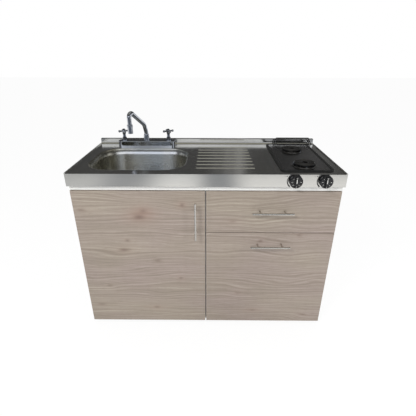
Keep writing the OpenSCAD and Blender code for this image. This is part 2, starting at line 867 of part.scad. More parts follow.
// A cross handle with the stem that it turns, standing on the tap body
module cross_handle() {
    translate([0, 0, tap_h]) {
        translate([0, 0, -bonnet_screw_l]) cylinder(r = stem_r, h = bonnet_screw_l + bonnet_h + 4);
        translate([0, 0, bonnet_h + seat_gap]) cylinder(r1 = 8, r2 = 10.5, h = cross_z - bonnet_h - 6);
        translate([0, 0, cross_z - 6 + seat_gap]) cylinder(r = 10.5, h = 11);
        translate([0, 0, cross_z + 5 + seat_gap]) cylinder(r1 = 8.5, r2 = 6, h = 6);
        translate([0, 0, cross_z]) rotate(cross_yaw) for (i = [0 : 3]) rotate(90 * i) {
            rod([0, 0, 0], [cross_reach - cross_ball_r, 0, 0], cross_arm_r);
            translate([cross_reach - cross_ball_r, 0, 0]) sphere(cross_ball_r);
        }
    }
}

module hot_handle() color(chrome) in_frame() at_tap() translate([-valve_pitch / 2, 0, 0]) cross_handle();

module cold_handle() color(chrome) in_frame() at_tap() translate([valve_pitch / 2, 0, 0]) cross_handle();

// Threaded tails of the tap, thicker where they pass the deck
module inlet_shanks() color(zinc) in_frame() at_valves() difference() {
    union() {
        translate([0, 0, -shank_l]) cylinder(r = shank_r, h = shank_l);
        translate([0, 0, -shank_seat_h - shank_chamfer])
            cylinder(r1 = shank_r, r2 = shank_seat_r, h = shank_chamfer);
        translate([0, 0, -shank_seat_h]) cylinder(r = shank_seat_r, h = shank_seat_h);
    }
    translate([0, 0, -shank_l - through]) cylinder(r = shank_bore_r, h = shank_l + 2 * through);
}

module shank_nuts() color(zinc) in_frame() at_valves() translate([0, 0, -sheet_t - shank_nut_h]) difference() {
    cylinder(r = shank_nut_r, h = shank_nut_h);
    translate([0, 0, -through]) cylinder(r = shank_seat_r + run_gap, h = shank_nut_h + 2 * through);
}

// ---------------------------------------------------------------- hob

module at_hob() {
    translate([hob_x, hob_y, deck_z]) children();
}

module hob_gasket() color(black) in_frame() at_hob() {
    linear_extrude(seal_h) round_frame(hob_w, hob_d, hob_corner_r, seal_w);
    linear_extrude(seal_t) round_frame(hob_w, hob_d, hob_corner_r, seal_w + seal_lip);
}

module hob_plate() color(steel) in_frame() difference() {
    at_hob() translate([0, 0, plate_low]) linear_extrude(plate_t)
        round_rect(hob_w - 2 * plate_edge, hob_d - 2 * plate_edge, hob_corner_r - plate_edge);
    for (i = [0, 1]) at_burner(i) translate([0, 0, -plate_t - through])
        cylinder(r = pan_r + pan_clear, h = plate_t + 2 * through);
}

module burner_box() color(zinc) in_frame() at_hob() translate([0, 0, plate_low]) difference() {
    translate([-burner_box_w / 2, -burner_box_d / 2, -burner_box_h])
        cube([burner_box_w, burner_box_d, burner_box_h]);
    translate([burner_box_t - burner_box_w / 2, burner_box_t - burner_box_d / 2, burner_box_t - burner_box_h])
        cube([burner_box_w - 2 * burner_box_t, burner_box_d - 2 * burner_box_t, burner_box_h]);
}

// Section of the pan under a spiral, its lip on the hob plate
module pan_section() {
    wall = 0.9;
    outside = [
        [pan_r, 0],
        [pan_r - 4, -0.35 * pan_depth],
        [pan_r - 9, -0.8 * pan_depth],
        [pan_r - 20, -pan_depth],
        [pan_hole_r, -pan_depth]
    ];
    inside = [for (i = [len(outside) - 1 : -1 : 0])
        outside[i] + [i == len(outside) - 1 ? 0 : -wall, i == 0 ? 0 : wall]];
    polygon(concat(outside, inside));
    translate([pan_r - wall, 0]) square([pan_lip_w + wall, pan_lip_t]);
}

module drip_bowls() color(black) in_frame() for (i = [0, 1]) at_burner(i) difference() {
    rotate_extrude() pan_section();
    // Way out for the two legs of the spiral
    translate([-coil_leg_pitch / 2 - 6, pan_r - 16, coil_leg_z - 5]) cube([coil_leg_pitch + 12, 24, 14]);
}

module trim_rings() color(chrome) in_frame() for (i = [0, 1]) at_burner(i) translate([0, 0, pan_lip_t])
    rotate_extrude() translate([ring_r, 0]) intersection() {
        circle(ring_tube_r);
        translate([-ring_tube_r, 0]) square([2 * ring_tube_r, ring_h]);
    }

module coil_supports() color(chrome) in_frame() for (i = [0, 1]) at_burner(i) translate([0, 0, pan_lip_t]) {
    for (angle = [30, 150, 270]) rotate(angle)
        translate([0, -spider_t / 2, 0]) cube([spider_reach - ring_tube_r + 2, spider_t, spider_h]);
    cylinder(r = spider_hub_r, h = spider_hub_h);
    translate([0, 0, spider_hub_h]) cylinder(r1 = spider_hub_r, r2 = spider_hub_r - 3, h = spider_cap_h);
}

// Path of a spiral element: in under the turns, up at the core, round, down and out again
function coil_path() =
    let (
        half = coil_leg_pitch / 2,
        sweep = coil_end - coil_start,
        count = round(rings_per_loop * sweep / 360),
        spiral = [for (i = [0 : count])
            let (a = coil_start + sweep * i / count, r = coil_core_r + (coil_end_r - coil_core_r) * i / count)
                [r * cos(a), r * sin(a), coil_z]],
        into = [-sin(coil_start), cos(coil_start), 0],
        away = [-sin(coil_end), cos(coil_end), 0],
        foot = [-half, 2 * coil_core_r + 1, coil_leg_z],
        bend = [half, coil_end_r - 3.5, coil_z - coil_tube_d - 0.5],
        exit = [half, coil_end_r + 10, coil_leg_z]
    )
    concat(
        [for (y = [coil_leg_end : -12 : 2 * coil_core_r + 8]) [-half, y, coil_leg_z]],
        [for (i = [0 : 7]) bezier(foot, foot - [0, 14, 0], spiral[0] - 12 * into, spiral[0], i / 8)],
        spiral,
        [for (i = [1 : 5]) bezier(spiral[count], spiral[count] + 8 * away, bend + [0, 0, 6], bend, i / 5)],
        [for (i = [1 : 5]) bezier(bend, bend - [0, 0, 7], exit - [0, 7, 0], exit, i / 5)],
        [[half, coil_leg_end, coil_leg_z]]
    );

module spiral_element() {
    swept_tube(coil_path(), coil_tube_r, [1, 0, 0]);
}

echo(least_gap_in_a_spiral = self_gap(coil_path(), coil_tube_r, 8));

module coil_front() color(black) in_frame() at_burner(0) spiral_element();

module coil_rear() color(black) in_frame() at_burner(1) spiral_element();

module terminal_blocks() color(white) in_frame() for (i = [0, 1]) at_burner(i) difference() {
    translate([-terminal_w / 2, terminal_y, coil_leg_z - 8])
        cube([terminal_w, terminal_l, -plate_t - coil_leg_z + 8]);
    for (x = [-1, 1]) translate([x * coil_leg_pitch / 2, terminal_y - through, coil_leg_z]) rotate([-90, 0, 0])
        cylinder(r = coil_tube_r + terminal_slack, h = terminal_l / 2 + terminal_slack + through);
}

// ---------------------------------------------------------------- controls

module switches() color(black) in_frame() for (x = knob_x) translate([x, sheet_t, knob_z]) difference() {
    union() {
        translate([-switch_w / 2, 0, -switch_w / 2]) cube([switch_w, switch_l, switch_w]);
        rotate([90, 0, 0]) cylinder(r = spindle_d / 2 + 2, h = sheet_t);
    }
    translate([0, switch_l - 4, 0]) rotate([90, 0, 0])
        cylinder(r = spindle_d / 2 + run_gap, h = switch_l + sheet_t);
}

// A knob with its spindle: neck against the apron, drum and a grip across its face
module burner_knob(index) translate([knob_x[index], -seat_gap, knob_z]) rotate([90, 0, 0]) {
    drum_r = knob_d / 2;
    neck_r = drum_r - knob_neck_in;
    drum_low = knob_neck_l + knob_flare;
    face = knob_l - seat_gap - knob_grip_h;
    cylinder(r = neck_r, h = knob_neck_l);
    translate([0, 0, knob_neck_l]) cylinder(r1 = neck_r, r2 = drum_r, h = knob_flare);
    translate([0, 0, drum_low]) cylinder(r = drum_r, h = face - knob_bevel - drum_low);
    translate([0, 0, face - knob_bevel]) cylinder(r1 = drum_r, r2 = drum_r - knob_bevel, h = knob_bevel);
    intersection() {
        translate([-grip_w / 2, -drum_r, 0]) cube([grip_w, knob_d, knob_l - seat_gap]);
        cylinder(r = drum_r - knob_bevel - 1, h = knob_l);
    }
    translate([0, 0, -switch_l + 6]) cylinder(d = spindle_d, h = switch_l);
}

module front_burner_knob() color(black) in_frame() burner_knob(0);

module rear_burner_knob() color(black) in_frame() burner_knob(1);

// ---------------------------------------------------------------- guard rail

module guard_rail() color(black) in_frame() translate([hob_x + guard_shift, guard_y, deck_z]) {
    setback = guard_bend_r * tan((90 - guard_lean) / 2);
    for (i = [0 : 2]) {
        x = guard_reach - guard_step_in * i;
        rise = guard_rise - guard_step_down * i;
        leg = rise / cos(guard_lean) - setback;
        top = 2 * (x - rise * tan(guard_lean)) - 2 * setback;
        turn = 90 - guard_lean;
        translate([-x, 0, guard_wire_low]) rotate([0, guard_lean, 0])
            pipe([[leg, turn, guard_bend_r], [top, turn, guard_bend_r], [leg, 0, 0]], guard_wire_r);
    }
    translate([-guard_reach - guard_strip_end, -guard_strip_w / 2, 0])
        cube([2 * (guard_reach + guard_strip_end), guard_strip_w, guard_strip_t]);
}

// ---------------------------------------------------------------- cabinet

module side_panel(x) {
    block([x, carcass_front, foot_h], [x + panel_t, carcass_back, board_z]);
}

module side_panel_left() color(white) in_frame() side_panel(cabinet_left);

module side_panel_right() color(white) in_frame() side_panel(cabinet_right - panel_t);

// Feet stand near the corners and under the partition
module at_feet() {
    for (x = [cabinet_left + foot_in_x, 0, cabinet_right - foot_in_x],
         y = [carcass_front + foot_in_y, carcass_back - foot_in_y])
        translate([x, y, 0]) children();
}

module bottom_panel() color(white) in_frame() difference() {
    block([cabinet_left + panel_t, carcass_front, foot_h], [cabinet_right - panel_t, carcass_back, floor_z]);
    at_feet() translate([0, 0, foot_h - through])
        cylinder(r = foot_stud_r + seat_gap, h = foot_stud_l + seat_gap + through);
}

module levelling_feet() color(black) in_frame() at_feet() {
    cylinder(r = 20, h = 7);
    cylinder(r = 11, h = foot_h);
    cylinder(r = foot_stud_r, h = foot_h + foot_stud_l);
}

module back_panel() color(white) in_frame() difference() {
    block([cabinet_left + panel_t, carcass_back - back_t, floor_z], [cabinet_right - panel_t, carcass_back, board_z]);
    block(
        [bowl_x - service_w / 2, carcass_back - back_t - through, service_z - service_h / 2],
        [bowl_x + service_w / 2, carcass_back + through, service_z + service_h / 2]
    );
    at_gland() rotate([90, 0, 0]) cylinder(r = 8 + seat_gap, h = 4 * back_t, center = true);
}

module at_gland() {
    translate([hob_x, carcass_back, board_z - gland_drop]) children();
}

module cable_gland() color(black) in_frame() at_gland() rotate([-90, 0, 0]) difference() {
    cord_bore_r = 4.5;
    union() {
        cylinder(r = 14, h = 3);
        translate([0, 0, -back_t - 6]) cylinder(r = 8, h = back_t + 6);
        translate([0, 0, -back_t - 6]) cylinder(r = 13, h = 6, $fn = 6);
    }
    translate([0, 0, -back_t - 6 - through]) cylinder(r = cord_bore_r, h = back_t + 9 + 2 * through);
}

module centre_partition() color(white) in_frame()
    block([-panel_t / 2, carcass_front, floor_z], [panel_t / 2, carcass_back - back_t, board_z]);

module front_rail() color(white) in_frame()
    block([cabinet_left, carcass_front - panel_t, rail_z], [cabinet_right, carcass_front, apron_z + rail_lap]);

module rear_rails() color(white) in_frame() {
    low = board_z - stretcher_h;
    back = carcass_back - back_t;
    block([cabinet_left + panel_t, back - panel_t, low], [-panel_t / 2, back, board_z]);
    block([panel_t / 2, back - panel_t, low], [cabinet_right - panel_t, back, board_z]);
}

module front_bumpers() color(white) in_frame() {
    bumper_r = 2.5;
    edge = panel_t / 4 + centre_gap / 4;
    low = 60;
    for (spot = [
        [-edge, fronts_low + low], [-edge, fronts_high - low],
        [edge, fronts_low + low], [edge, lower_front_high - low],
        [edge, top_front_low + low], [edge, fronts_high - low],
        [cabinet_right - panel_t / 2, fronts_low + low], [cabinet_right - panel_t / 2, lower_front_high - low],
        [cabinet_right - panel_t / 2, top_front_low + low], [cabinet_right - panel_t / 2, fronts_high - low]
    ])
        translate([spot[0], carcass_front, spot[1]]) rotate([90, 0, 0])
            cylinder(r = bumper_r, h = front_gap - seat_gap);
}

// ---------------------------------------------------------------- handles

// Bar along x, posts back to the face of a front at y = 0
module bar_handle() difference() {
    union() {
        translate([0, -handle_stand, 0]) rotate([0, 90, 0]) cylinder(d = handle_bar_d, h = handle_l, center = true);
        for (side = [-1, 1]) translate([side * handle_pitch / 2, 0, 0]) rotate([90, 0, 0])
            cylinder(d = handle_post_d, h = handle_stand);
    }
    for (side = [-1, 1]) translate([side * handle_pitch / 2, through, 0]) rotate([90, 0, 0])
        cylinder(r = screw_d / 2 + run_gap, h = handle_screw_in + seat_gap + through);
}

// Two screws from the back of a wall of the given thickness into the posts
module handle_screws(wall) for (side = [-1, 1]) translate([side * handle_pitch / 2, wall, 0]) rotate([90, 0, 0]) {
    cylinder(d = screw_d, h = wall + handle_screw_in);
    translate([0, 0, -screw_head_h]) cylinder(r = screw_d, h = screw_head_h);
}

// Holes for the two screws
module screw_holes(depth) for (side = [-1, 1]) translate([side * handle_pitch / 2, depth, 0]) rotate([90, 0, 0])
    cylinder(r = screw_d / 2 + screw_clear, h = depth + through);

module at_door_handle() {
    translate([door_right - door_handle_in, front_setback, fronts_high - door_handle_drop - handle_l / 2])
        rotate([0, 90, 0]) children();
}

drawer_front_x = (drawer_left + cabinet_right) / 2;

module at_top_handle() {
    translate([drawer_front_x, front_setback, fronts_high - top_handle_drop]) children();
}

module at_lower_handle() {
    translate([drawer_front_x, front_setback, lower_front_high - lower_handle_drop]) children();
}

// ---------------------------------------------------------------- door

module left_door() color(oak) in_frame() difference() {
    block([cabinet_left, front_setback, fronts_low], [door_right, front_back, fronts_high]);
    at_door_handle() screw_holes(front_t + through);
    for (z = hinge_z) translate([cup_x, front_back + through, z]) rotate([90, 0, 0])
        cylinder(r = cup_d / 2 + run_gap, h = cup_depth + run_gap + through);
}

module left_door_handle() color(satin) in_frame() at_door_handle() bar_handle();

module left_handle_screws() color(zinc) in_frame() at_door_handle() handle_screws(front_t);

// Cup sunk in the door, its plate on the door's back, and the pin between two ears
module hinge_cups() color(zinc) in_frame() for (z = hinge_z) translate([0, front_back, z]) {
    plate_w = 20;
    plate_h = 48;
    cavity_r = cup_d / 2 - cup_wall;
    difference() {
        union() {
            translate([cup_x, 0, 0]) rotate([90, 0, 0]) cylinder(d = cup_d, h = cup_depth);
            translate([cup_x - plate_w / 2 - 4, 0, -plate_h / 2]) cube([plate_w, cup_plate_t, plate_h]);
        }
        translate([cup_x, cup_plate_t + through, 0]) rotate([90, 0, 0])
            cylinder(r = cavity_r, h = cup_depth - cup_wall + cup_plate_t + through);
    }
    ear_low = knuckle_h / 2 + seat_gap;
    intersection() {
        for (side = [-1, 1])
            translate([pivot_x - ear_r, cup_wall / 2 - cup_depth, side * (ear_low + ear_t / 2) - ear_t / 2])
                cube([ear_w, cup_depth - pivot_deep + ear_r - cup_wall / 2, ear_t]);
        translate([cup_x, 0, 0]) rotate([90, 0, 0]) cylinder(r = cavity_r + cup_wall / 2, h = cup_depth);
    }
    translate([pivot_x, -pivot_deep, 0]) cylinder(r = pin_r, h = 2 * ear_low + 2 * ear_t, center = true);
}

// Arm on the side panel that hooks into the cup and turns on the pin
module hinge_arms() color(zinc) in_frame() for (z = hinge_z) translate([0, 0, z]) difference() {
    inner = cabinet_left + panel_t;
    hook_x = inner + arm_hook_in;
    hook_end = hook_x + arm_hook_t;
    low = -knuckle_h / 2;
    high = knuckle_h / 2;
    union() {
        block(
            [inner, carcass_front + arm_plate[0], -arm_plate_h / 2],
            [inner + arm_t, carcass_front + arm_plate[1], arm_plate_h / 2]
        );
        block(
            [inner, carcass_front + arm_body[0], -arm_body_h / 2],
            [hook_end, carcass_front + arm_body[1], arm_body_h / 2]
        );
        block([hook_x, pivot_y - arm_t / 2, low], [hook_end, carcass_front + arm_hook_l, high]);
        block([pivot_x, pivot_y - arm_t / 2, low], [hook_x + 1, pivot_y + arm_t / 2, high]);
        translate([pivot_x, pivot_y, 0]) cylinder(r = knuckle_r, h = knuckle_h, center = true);
    }
    translate([pivot_x, pivot_y, 0]) cylinder(r = pin_r + run_gap, h = knuckle_h + 2 * through, center = true);
}

// ---------------------------------------------------------------- drawers

module drawer_front(low, high) {
    block([drawer_left, front_setback, low], [cabinet_right, front_back, high]);
}

module drawer_box(low, height) difference() {
    block([box_left, front_back, low], [box_right, box_back, low + height]);
    block(
        [box_left + box_t, front_back + box_t, low - through],
        [box_right - box_t, box_back - box_t, low + height + through]
    );
    block(
        [box_left + box_t - groove, front_back + box_t - groove, low + groove_up],
        [box_right - box_t + groove, box_back - box_t + groove, low + groove_up + bottom_t]
    );
}

module drawer_bottom(low) {
    inset = box_t - groove + seat_gap;
    block(
        [box_left + inset, front_back + inset, low + groove_up],
        [box_right - inset, box_back - inset, low + groove_up + bottom_t]
    );
}

// Fixed channel of a runner, its back at x = 0
module rail_section() {
    lip = race_x - runner_steel + ball_r + seat_gap + runner_steel;
    translate([0, -runner_h / 2]) square([runner_steel, runner_h]);
    for (side = [-1, 1]) {
        translate([0, side * (runner_h / 2 - runner_steel / 2) - runner_steel / 2])
            square([lip + runner_steel, runner_steel]);
        translate([lip, side * (runner_h / 2 - 2.2) - 2.2]) square([runner_steel, 4.4]);
    }
}

// Sliding channel of a runner, its back at x = runner_t
module slide_section() {
    flange_z = race_z - race / 2 - runner_steel / 2;
    translate([runner_t - runner_steel, -flange_z]) square([runner_steel, 2 * flange_z]);
    for (side = [-1, 1])
        translate([race_x - 1, side * flange_z - runner_steel / 2])
            square([runner_t - race_x + 1, runner_steel]);
}

// Balls of one runner in their strips, above and below the sliding channel
module ball_strip_pair() for (side = [-1, 1]) translate([race_x, strip_front, side * race_z]) {
    strip_t = 1.2;
    strip_h = 2 * ball_r - 0.8;
    translate([-strip_t / 2, 0, -strip_h / 2]) cube([strip_t, strip_l, strip_h]);
    for (i = [0 : ball_count - 1]) translate([0, ball_pitch * (i + 0.5), 0]) sphere(ball_r);
}

module runner_rails(z) both_runners(z) along_y(carcass_front + 2, carcass_front + 2 + drawer_l) rail_section();

module runner_slides(z) both_runners(z) along_y(carcass_front + 2, carcass_front + 2 + drawer_l - 5) slide_section();

module top_drawer_front() color(oak) in_frame() difference() {
    drawer_front(top_front_low, fronts_high);
    at_top_handle() screw_holes(front_t + through);
}

module top_drawer_box() color(white) in_frame() difference() {
    drawer_box(top_box_low, top_box_h);
    at_top_handle() screw_holes(front_t + box_t + through);
}

module top_drawer_bottom() color(white) in_frame() drawer_bottom(top_box_low);

module top_drawer_handle() color(satin) in_frame() at_top_handle() bar_handle();

module top_handle_screws() color(zinc) in_frame() at_top_handle() handle_screws(front_t + box_t);

module top_runner_rails() color(zinc) in_frame() runner_rails(top_runner_z);

module top_runner_slides() color(zinc) in_frame() runner_slides(top_runner_z);

module top_ball_strips() color(zinc) in_frame() both_runners(top_runner_z) ball_strip_pair();

module lower_drawer_front() color(oak) in_frame() difference() {
    drawer_front(fronts_low, lower_front_high);
    at_lower_handle() screw_holes(front_t + through);
}

module lower_drawer_box() color(white) in_frame() drawer_box(lower_box_low, lower_box_h);

module lower_drawer_bottom() color(white) in_frame() drawer_bottom(lower_box_low);

module lower_drawer_handle() color(satin) in_frame() at_lower_handle() bar_handle();

module lower_handle_screws() color(zinc) in_frame() at_lower_handle() handle_screws(front_t);

module lower_runner_rails() color(zinc) in_frame() runner_rails(lower_runner_z);

module lower_runner_slides() color(zinc) in_frame() runner_slides(lower_runner_z);

module lower_ball_strips() color(zinc) in_frame() both_runners(lower_runner_z) ball_strip_pair();

// ---------------------------------------------------------------- one line per piece

worktop();
worktop_board();
sink_bowl();
strainer_body();
strainer_basket();
strainer_nut();
tailpiece();
faucet_base();
spout_collar();
spout();
aerator();
valve_bonnets();
hot_handle();
cold_handle();
inlet_shanks();
shank_nuts();
hob_plate();
hob_gasket();
burner_box();
drip_bowls();
trim_rings();
coil_front();
coil_rear();
coil_supports();
terminal_blocks();
switches();
front_burner_knob();
rear_burner_knob();
guard_rail();
cable_gland();
side_panel_left();
side_panel_right();
bottom_panel();
back_panel();
centre_partition();
front_rail();
rear_rails();
levelling_feet();
front_bumpers();
left_door();
left_door_handle();
left_handle_screws();
hinge_cups();
hinge_arms();
top_drawer_front();
top_drawer_box();
top_drawer_bottom();
top_drawer_handle();
top_handle_screws();
top_runner_rails();
top_runner_slides();
top_ball_strips();
lower_drawer_front();
lower_drawer_box();
lower_drawer_bottom();
lower_drawer_handle();
lower_handle_screws();
lower_runner_rails();
lower_runner_slides();
lower_ball_strips();
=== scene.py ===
"""Looks of the kitchenette unit: finishes, fine pieces, studio and camera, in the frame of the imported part.

Metres. The front looks towards -Y, the floor is z = 0, and x = 0 is the middle of the unit.
"""

import json
import math

import bmesh
import bpy
from mathutils import Matrix, Vector


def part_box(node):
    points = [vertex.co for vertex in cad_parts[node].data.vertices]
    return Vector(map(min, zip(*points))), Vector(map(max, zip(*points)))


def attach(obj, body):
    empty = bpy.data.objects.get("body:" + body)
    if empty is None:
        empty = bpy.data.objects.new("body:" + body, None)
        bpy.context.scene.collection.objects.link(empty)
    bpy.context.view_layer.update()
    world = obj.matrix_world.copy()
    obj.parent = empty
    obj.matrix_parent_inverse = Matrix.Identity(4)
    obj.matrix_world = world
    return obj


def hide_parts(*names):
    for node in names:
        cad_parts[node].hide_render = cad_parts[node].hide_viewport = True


# Half the unit's width: places along X plus this start from 0 at its left edge
HALF_WIDTH = 0.6

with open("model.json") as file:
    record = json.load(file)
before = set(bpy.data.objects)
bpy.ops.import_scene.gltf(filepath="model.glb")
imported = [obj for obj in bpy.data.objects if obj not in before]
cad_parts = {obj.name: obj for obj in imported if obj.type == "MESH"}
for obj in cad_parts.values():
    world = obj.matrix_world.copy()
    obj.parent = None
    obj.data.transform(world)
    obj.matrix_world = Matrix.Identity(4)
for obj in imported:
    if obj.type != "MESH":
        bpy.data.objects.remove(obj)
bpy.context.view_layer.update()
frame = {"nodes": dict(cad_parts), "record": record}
cad = frame["nodes"]


# ---------------------------------------------------------------- node graphs


class Graph:
    """A node tree that is written as a list of sums."""

    def __init__(self, tree):
        self.tree = tree
        tree.nodes.clear()

    def add(self, kind, inputs=None, output=0, **settings):
        """Makes a node, feeds its inputs with sockets or plain values, and returns one of its outputs."""
        node = self.tree.nodes.new(kind)
        for key, value in settings.items():
            setattr(node, key, value)
        for name, value in (inputs or {}).items():
            self.feed(node.inputs[name], value)
        return node.outputs[output] if node.outputs else node

    def feed(self, socket, value):
        if isinstance(value, bpy.types.NodeSocket):
            self.tree.links.new(value, socket)
        else:
            socket.default_value = value

    def maths(self, operation, a, b=0.0, clamp=False, c=None):
        inputs = {0: a, 1: b} if c is None else {0: a, 1: b, 2: c}
        return self.add("ShaderNodeMath", inputs, operation=operation, use_clamp=clamp)

    def place(self):
        return self.add("ShaderNodeTexCoord", output="Object")

    def scaled(self, vector, scale, shift=(0, 0, 0)):
        return self.add("ShaderNodeMapping", {"Vector": vector, "Scale": scale, "Location": shift})

    def noise(self, vector, scale, detail=3.0, roughness=0.5, distortion=0.0):
        inputs = {"Vector": vector, "Scale": scale, "Detail": detail}
        inputs |= {"Roughness": roughness, "Distortion": distortion}
        return self.add("ShaderNodeTexNoise", inputs)

    def ramp(self, factor, stops):
        """Colour ramp; each stop is (position, grey or colour)."""
        socket = self.add("ShaderNodeValToRGB", {"Fac": factor})
        ramp = socket.node.color_ramp
        while len(ramp.elements) < len(stops):
            ramp.elements.new(0.5)
        for element, (position, shade) in zip(ramp.elements, stops):
            element.position = position
            element.color = rgba(shade)
        return socket

    def mix(self, factor, a, b, blend="MIX"):
        node = self.tree.nodes.new("ShaderNodeMix")
        node.data_type = "RGBA"
        node.blend_type = blend
        self.feed(node.inputs["Factor"], factor)
        for name, value in (("A", a), ("B", b)):
            socket = next(s for s in node.inputs if s.name == name and s.type == "RGBA")
            self.feed(socket, value if isinstance(value, bpy.types.NodeSocket) else rgba(value))
        return next(s for s in node.outputs if s.type == "RGBA")

    def bump(self, height, strength, distance):
        inputs = {"Height": height, "Strength": strength, "Distance": distance}
        return self.add("ShaderNodeBump", inputs)

    def axis(self, vector, name):
        return self.add("ShaderNodeSeparateXYZ", {"Vector": vector}, output=name)


def rgba(shade):
    """Grey level or three channels as a colour with alpha."""
    if isinstance(shade, (int, float)):
        return (shade, shade, shade, 1.0)
    return (*shade[:3], 1.0)


def srgb(red, green, blue):
    """Linear colour of a shade given in the usual 0 to 255."""
    def channel(value):
        value /= 255
        return value / 12.92 if value <= 0.04045 else ((value + 0.055) / 1.055) ** 2.4

    return tuple(channel(value) for value in (red, green, blue))


def new_material(name):
    """A material with a Principled shader, and the graph to write on it."""
    material = bpy.data.materials.new(name)
    material.use_nodes = True
    graph = Graph(material.node_tree)
    surface = graph.add("ShaderNodeBsdfPrincipled", output="BSDF")
    graph.add("ShaderNodeOutputMaterial", {"Surface": surface})
    return material, graph, surface.node


# ---------------------------------------------------------------- metals


# Noise scales of a brushed sheet: its grain runs along X, and slow patches and smears lie over it
BRUSHED_X = (2.5, 700, 700)
STEEL_PATCHES = (2.2, 7, 7)
STEEL_SMEARS = (14, 30, 30)
# How much the roughness of steel changes with its grain and its smears
STEEL_SPREAD = 0.05


def steel(name, tone, rough, grain=BRUSHED_X, streak=0.12, patch=0.10, relief=0.00004, stops=()):
    """Stainless steel with a brushed grain, slow patches of tone and smears; the stops multiply painted
    reflections onto its tone along X.
    """
    material, graph, shader = new_material(name)
    place = graph.place()
    fine = graph.noise(graph.scaled(place, grain), 1.0, 3.0, 0.6)
    slow = graph.noise(graph.scaled(place, STEEL_PATCHES), 1.0, 2.0)
    smear = graph.noise(graph.scaled(place, STEEL_SMEARS), 1.0, 4.0, 0.6, 0.8)
    dark = [c * (1 - streak) for c in tone]
    lit = graph.mix(graph.ramp(fine, [(0.3, 0.0), (0.7, 1.0)]), dark, tone)
    cool = [tone[0] * (1 - patch), tone[1] * (1 - patch * 0.8), tone[2] * (1 - patch * 0.4)]
    colour = graph.mix(graph.ramp(slow, [(0.35, 0.0), (0.65, 1.0)]), lit, cool)
    tinted = graph.mix(0.5, lit, colour)
    if stops:
        # Painted reflections: where stops are given, bands of painted light and dark tone are multiplied onto
        # the colour along X
        along = graph.maths("ADD", graph.axis(place, "X"), HALF_WIDTH)
        painted_reflection_tone = graph.ramp(along, [(x + HALF_WIDTH, shade) for x, shade in stops])
        tinted = graph.mix(1.0, tinted, painted_reflection_tone, "MULTIPLY")
    graph.feed(shader.inputs["Base Color"], tinted)
    spread = graph.maths("MULTIPLY_ADD", fine, STEEL_SPREAD, c=rough - STEEL_SPREAD / 2)
    smeared = graph.maths("MULTIPLY", smear, STEEL_SPREAD)
    graph.feed(shader.inputs["Roughness"], graph.maths("ADD", spread, smeared))
    graph.feed(shader.inputs["Normal"], graph.bump(fine, 0.6, relief))
    shader.inputs["Metallic"].default_value = 1.0
    return material


def chrome_plate(name, bright, dull, rough):
    """Polished chrome with faint water marks."""
    material, graph, shader = new_material(name)
    place = graph.place()
    marks = graph.noise(place, 60.0, 4.0, 0.6)
    coat = graph.mix(graph.ramp(marks, [(0.4, 0.0), (0.75, 1.0)]), bright, dull)
    graph.feed(shader.inputs["Base Color"], coat)
    graph.feed(shader.inputs["Roughness"], graph.ramp(marks, [(0.45, rough), (0.8, rough + 0.09)]))
    graph.feed(shader.inputs["Normal"], graph.bump(graph.noise(place, 25.0, 1.0), 0.12, 0.0006))
    shader.inputs["Metallic"].default_value = 1.0
    return material


def zinc_plate():
    """Dull zinc plating with a spangle."""
    material, graph, shader = new_material("zinc")
    place = graph.place()
    cells = graph.add("ShaderNodeTexVoronoi", {"Vector": place, "Scale": 220.0}, output="Color")
    spangle = graph.mix(graph.axis(cells, "X"), (0.50, 0.52, 0.54), (0.60, 0.61, 0.62))
    graph.feed(shader.inputs["Base Color"], spangle)
    rough = graph.ramp(graph.noise(place, 90.0), [(0.3, 0.32), (0.7, 0.48)])
    graph.feed(shader.inputs["Roughness"], rough)
    shader.inputs["Metallic"].default_value = 1.0
    return material


def enamel(name, tone, rough, speck):
    """Hard dark coat with a faint speckle, worn a little lighter in spots."""
    material, graph, shader = new_material(name)
    place = graph.place()
    specks = graph.ramp(graph.noise(place, 700.0, 2.0), [(0.62, 0.0), (0.72, 1.0)])
    worn = graph.ramp(graph.noise(place, 45.0, 5.0, 0.7), [(0.55, 0.0), (0.8, 1.0)])
    lit = graph.mix(graph.maths("MULTIPLY", specks, speck), tone, [c * 3 + 0.05 for c in tone])
    pale = [c * 2 for c in tone]
    graph.feed(shader.inputs["Base Color"], graph.mix(graph.maths("MULTIPLY", worn, 0.3), lit, pale))
    graph.feed(shader.inputs["Roughness"], graph.ramp(worn, [(0.0, rough), (1.0, rough + 0.15)]))
    graph.feed(shader.inputs["Normal"], graph.bump(graph.noise(place, 380.0), 0.2, 0.0001))
    return material


# ---------------------------------------------------------------- plastics, rubber and ceramic


def plastic(name, tone, rough, grain=0.15, scale=1200.0):
    """Moulded plastic with a fine grain."""
    material, graph, shader = new_material(name)
    place = graph.place()
    dust = graph.ramp(graph.noise(place, 35.0, 5.0, 0.7), [(0.5, 0.0), (0.85, 1.0)])
    lighter = [c * 1.25 + 0.01 for c in tone]
    graph.feed(shader.inputs["Base Color"], graph.mix(dust, tone, lighter))
    rough_dust = min(rough + 0.12, 1.0)
    graph.feed(shader.inputs["Roughness"], graph.ramp(dust, [(0.0, rough), (1.0, rough_dust)]))
    graph.feed(shader.inputs["Normal"], graph.bump(graph.noise(place, scale, 2.0), grain, 0.00008))
    return material


# ---------------------------------------------------------------- boards


def white_board():
    """White melamine face: a very fine pearl and a trace of tone."""
    material, graph, shader = new_material("white_board")
    place = graph.place()
    pearl = graph.noise(place, 1600.0, 2.0)
    slow = graph.noise(place, 3.0, 2.0)
    base = graph.mix(slow, srgb(236, 236, 234), srgb(228, 228, 224))
    graph.feed(shader.inputs["Base Color"], base)
    graph.feed(shader.inputs["Roughness"], graph.ramp(pearl, [(0.3, 0.38), (0.7, 0.5)]))
    graph.feed(shader.inputs["Normal"], graph.bump(pearl, 0.12, 0.00005))
    return material


